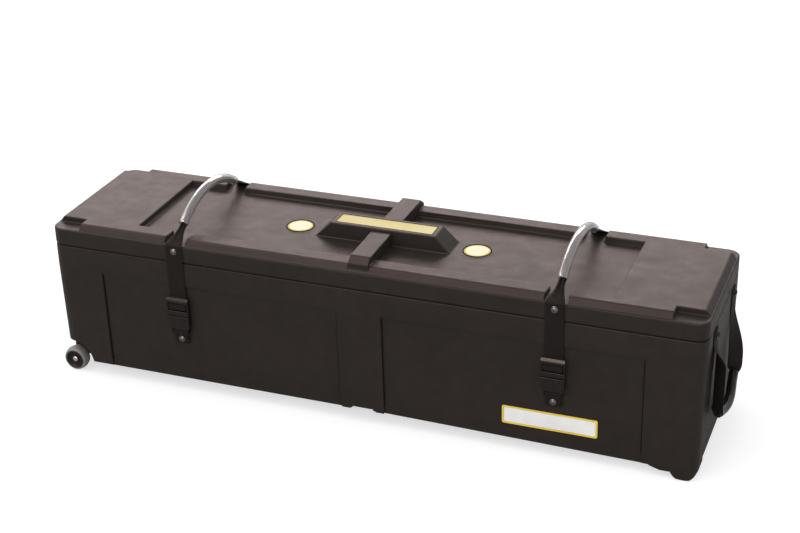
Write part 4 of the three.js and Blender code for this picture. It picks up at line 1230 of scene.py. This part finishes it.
drop_strip = band([*drop_half(-1), *drop_grip_stations(), *reversed(drop_half(1))])
handle = set_out(drop_strip, "drop_handle_webbing")
finished(handle, webbing, "webbing", None, "drop_handle_webbing", "drop_tab_front", "drop_tab_rear")
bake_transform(handle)
drop_hose = hose([grip_point(2 * step / drop_hose_steps - 1) for step in range(drop_hose_steps + 1)])
grip = set_out(drop_hose, "drop_handle_hose")
# The grip keeps the clear hose's slot, but takes the clear hose darkened as painted shade
finished(grip, smoky_hose, "clear_hose", "drop_handle", "drop_handle_hose")

# Bolts and washers of the drop handle
bolt_washer_radius = 0.0085
bolt_washer_thickness = 0.0014
bolt_washer_shoulder = 0.00098
bolt_washer_edge = 0.0003
bolt_head_height = 0.0034
bolt_hole_radius = rivet_shank_radius + rest_gap
bolt_washer_x = half_length + 2 * rest_gap + strap_thickness
bolt_x = bolt_washer_x + bolt_washer_thickness + rest_gap
bolt_grip = bolt_x - half_length + case_wall + rest_gap

bolt_washer = turned([
    (bolt_hole_radius, 0),
    (bolt_washer_radius, 0),
    (bolt_washer_radius, bolt_washer_shoulder),
    (bolt_washer_radius - bolt_washer_edge, bolt_washer_thickness),
    (bolt_hole_radius, bolt_washer_thickness),
    (bolt_hole_radius, 0),
])
handle_bolt = rivet_model(bolt_grip, bolt_head_height)
for face_name, face in faces.items():
    y = face * drop_anchor_y
    node = "bolt_washer_" + face_name
    piece = set_out(bolt_washer, node, middle + Vector((bolt_washer_x, y, drop_anchor_z)), rightwards)
    finished(piece, black_metal, "dull_metal", "case", node)
    set_rivet(handle_bolt, "handle_bolt_" + face_name, (bolt_x, y, drop_anchor_z), rightwards, black_metal)

for model in models:
    bpy.data.objects.remove(model)


# Floor, light and camera

floor_half = 14.0
floor_shades = (opaque(0.55, 0.55, 0.55), opaque(0.57, 0.57, 0.57))
floor_tone = (3, 2)
floor_roughness = 0.9
floor_glow = 0.6
white = opaque(1, 1, 1)
bpy.ops.mesh.primitive_plane_add(size=2 * floor_half, location=(0, 0, 0))
floor = bpy.context.object
floor.name = "studio_floor"
paint = Finish("studio_floor", Roughness=floor_roughness, Specular_IOR_Level=0.0, Emission_Color=white)
tone = paint.noise(paint.place(), *floor_tone)
to_camera = paint.add("ShaderNodeLightPath", output="Is Camera Ray")
paint.feed(paint.shader.inputs["Base Color"], paint.mixed(tone, *floor_shades))
paint.feed(paint.shader.inputs["Emission Strength"], to_camera * floor_glow)
floor.data.materials.append(paint.material)

ambient = 0.78
world = bpy.data.worlds.new("studio")
bpy.context.scene.world = world
sky = Nodes(world)
seen = sky.add("ShaderNodeLightPath", output="Is Camera Ray")
mirrored = sky.add("ShaderNodeLightPath", output="Is Glossy Ray")
through = sky.add("ShaderNodeLightPath", output="Is Transmission Ray")
background = sky.tree.nodes["Background"]
sky.feed(background.inputs["Color"], white)
sky.feed(background.inputs["Strength"], sky.spread(seen + mirrored + through, (0, 1), (ambient, 1)))

# Broad soft lamps from above and from the front: the way to each, and its strength
soft_suns = {"key": ((-0.55, -0.35, 0.9), 0.8), "fill": ((0.2, -1.0, 0.25), 0.9)}
sun_spread = math.radians(60)


def hang_lamp(name, kind, power, towards, place=(0, 0, 0)):
    """A lamp at a place, shining from the way that it stands towards."""
    light = bpy.data.lights.new(name, kind)
    light.energy = power
    lamp = bpy.data.objects.new(name, light)
    lamp.location = place
    lamp.rotation_euler = towards.to_track_quat("Z", "Y").to_euler()
    bpy.context.scene.collection.objects.link(lamp)
    return lamp


for name, (towards, strength) in soft_suns.items():
    hang_lamp(name, "SUN", strength, Vector(towards)).data.angle = sun_spread

# Long soft boxes that only the glossy surfaces see, behind the case and above it: place, size and power
soft_boxes = {
    "rear_soft_box": ((-1.4, 3.6, 2.2), (5.0, 1.6), 180),
    "top_soft_box": ((-1.1, -1.3, 2.9), (4.4, 1.2), 130),
}
soft_box_colour = (1.0, 0.82, 0.79)
soft_box_aim = Vector((0, 0, 0.35))
for name, (place, size, power) in soft_boxes.items():
    lamp = hang_lamp(name, "AREA", power, Vector(place) - soft_box_aim, place)
    lamp.data.shape = "RECTANGLE"
    lamp.data.size, lamp.data.size_y = size
    lamp.data.color = soft_box_colour
    lamp.visible_diffuse = False

camera = bpy.data.objects.new("camera", bpy.data.cameras.new("camera"))
camera.data.lens = camera_lens_mm
camera.data.clip_start, camera.data.clip_end = camera_clip
turn = Matrix((camera_right, camera_up, camera_right.cross(camera_up))).transposed()
camera.matrix_world = Matrix.Translation(camera_eye + middle) @ turn.to_4x4()
bpy.context.scene.collection.objects.link(camera)
bpy.context.scene.camera = camera
bpy.context.scene.view_settings.view_transform = "Standard"
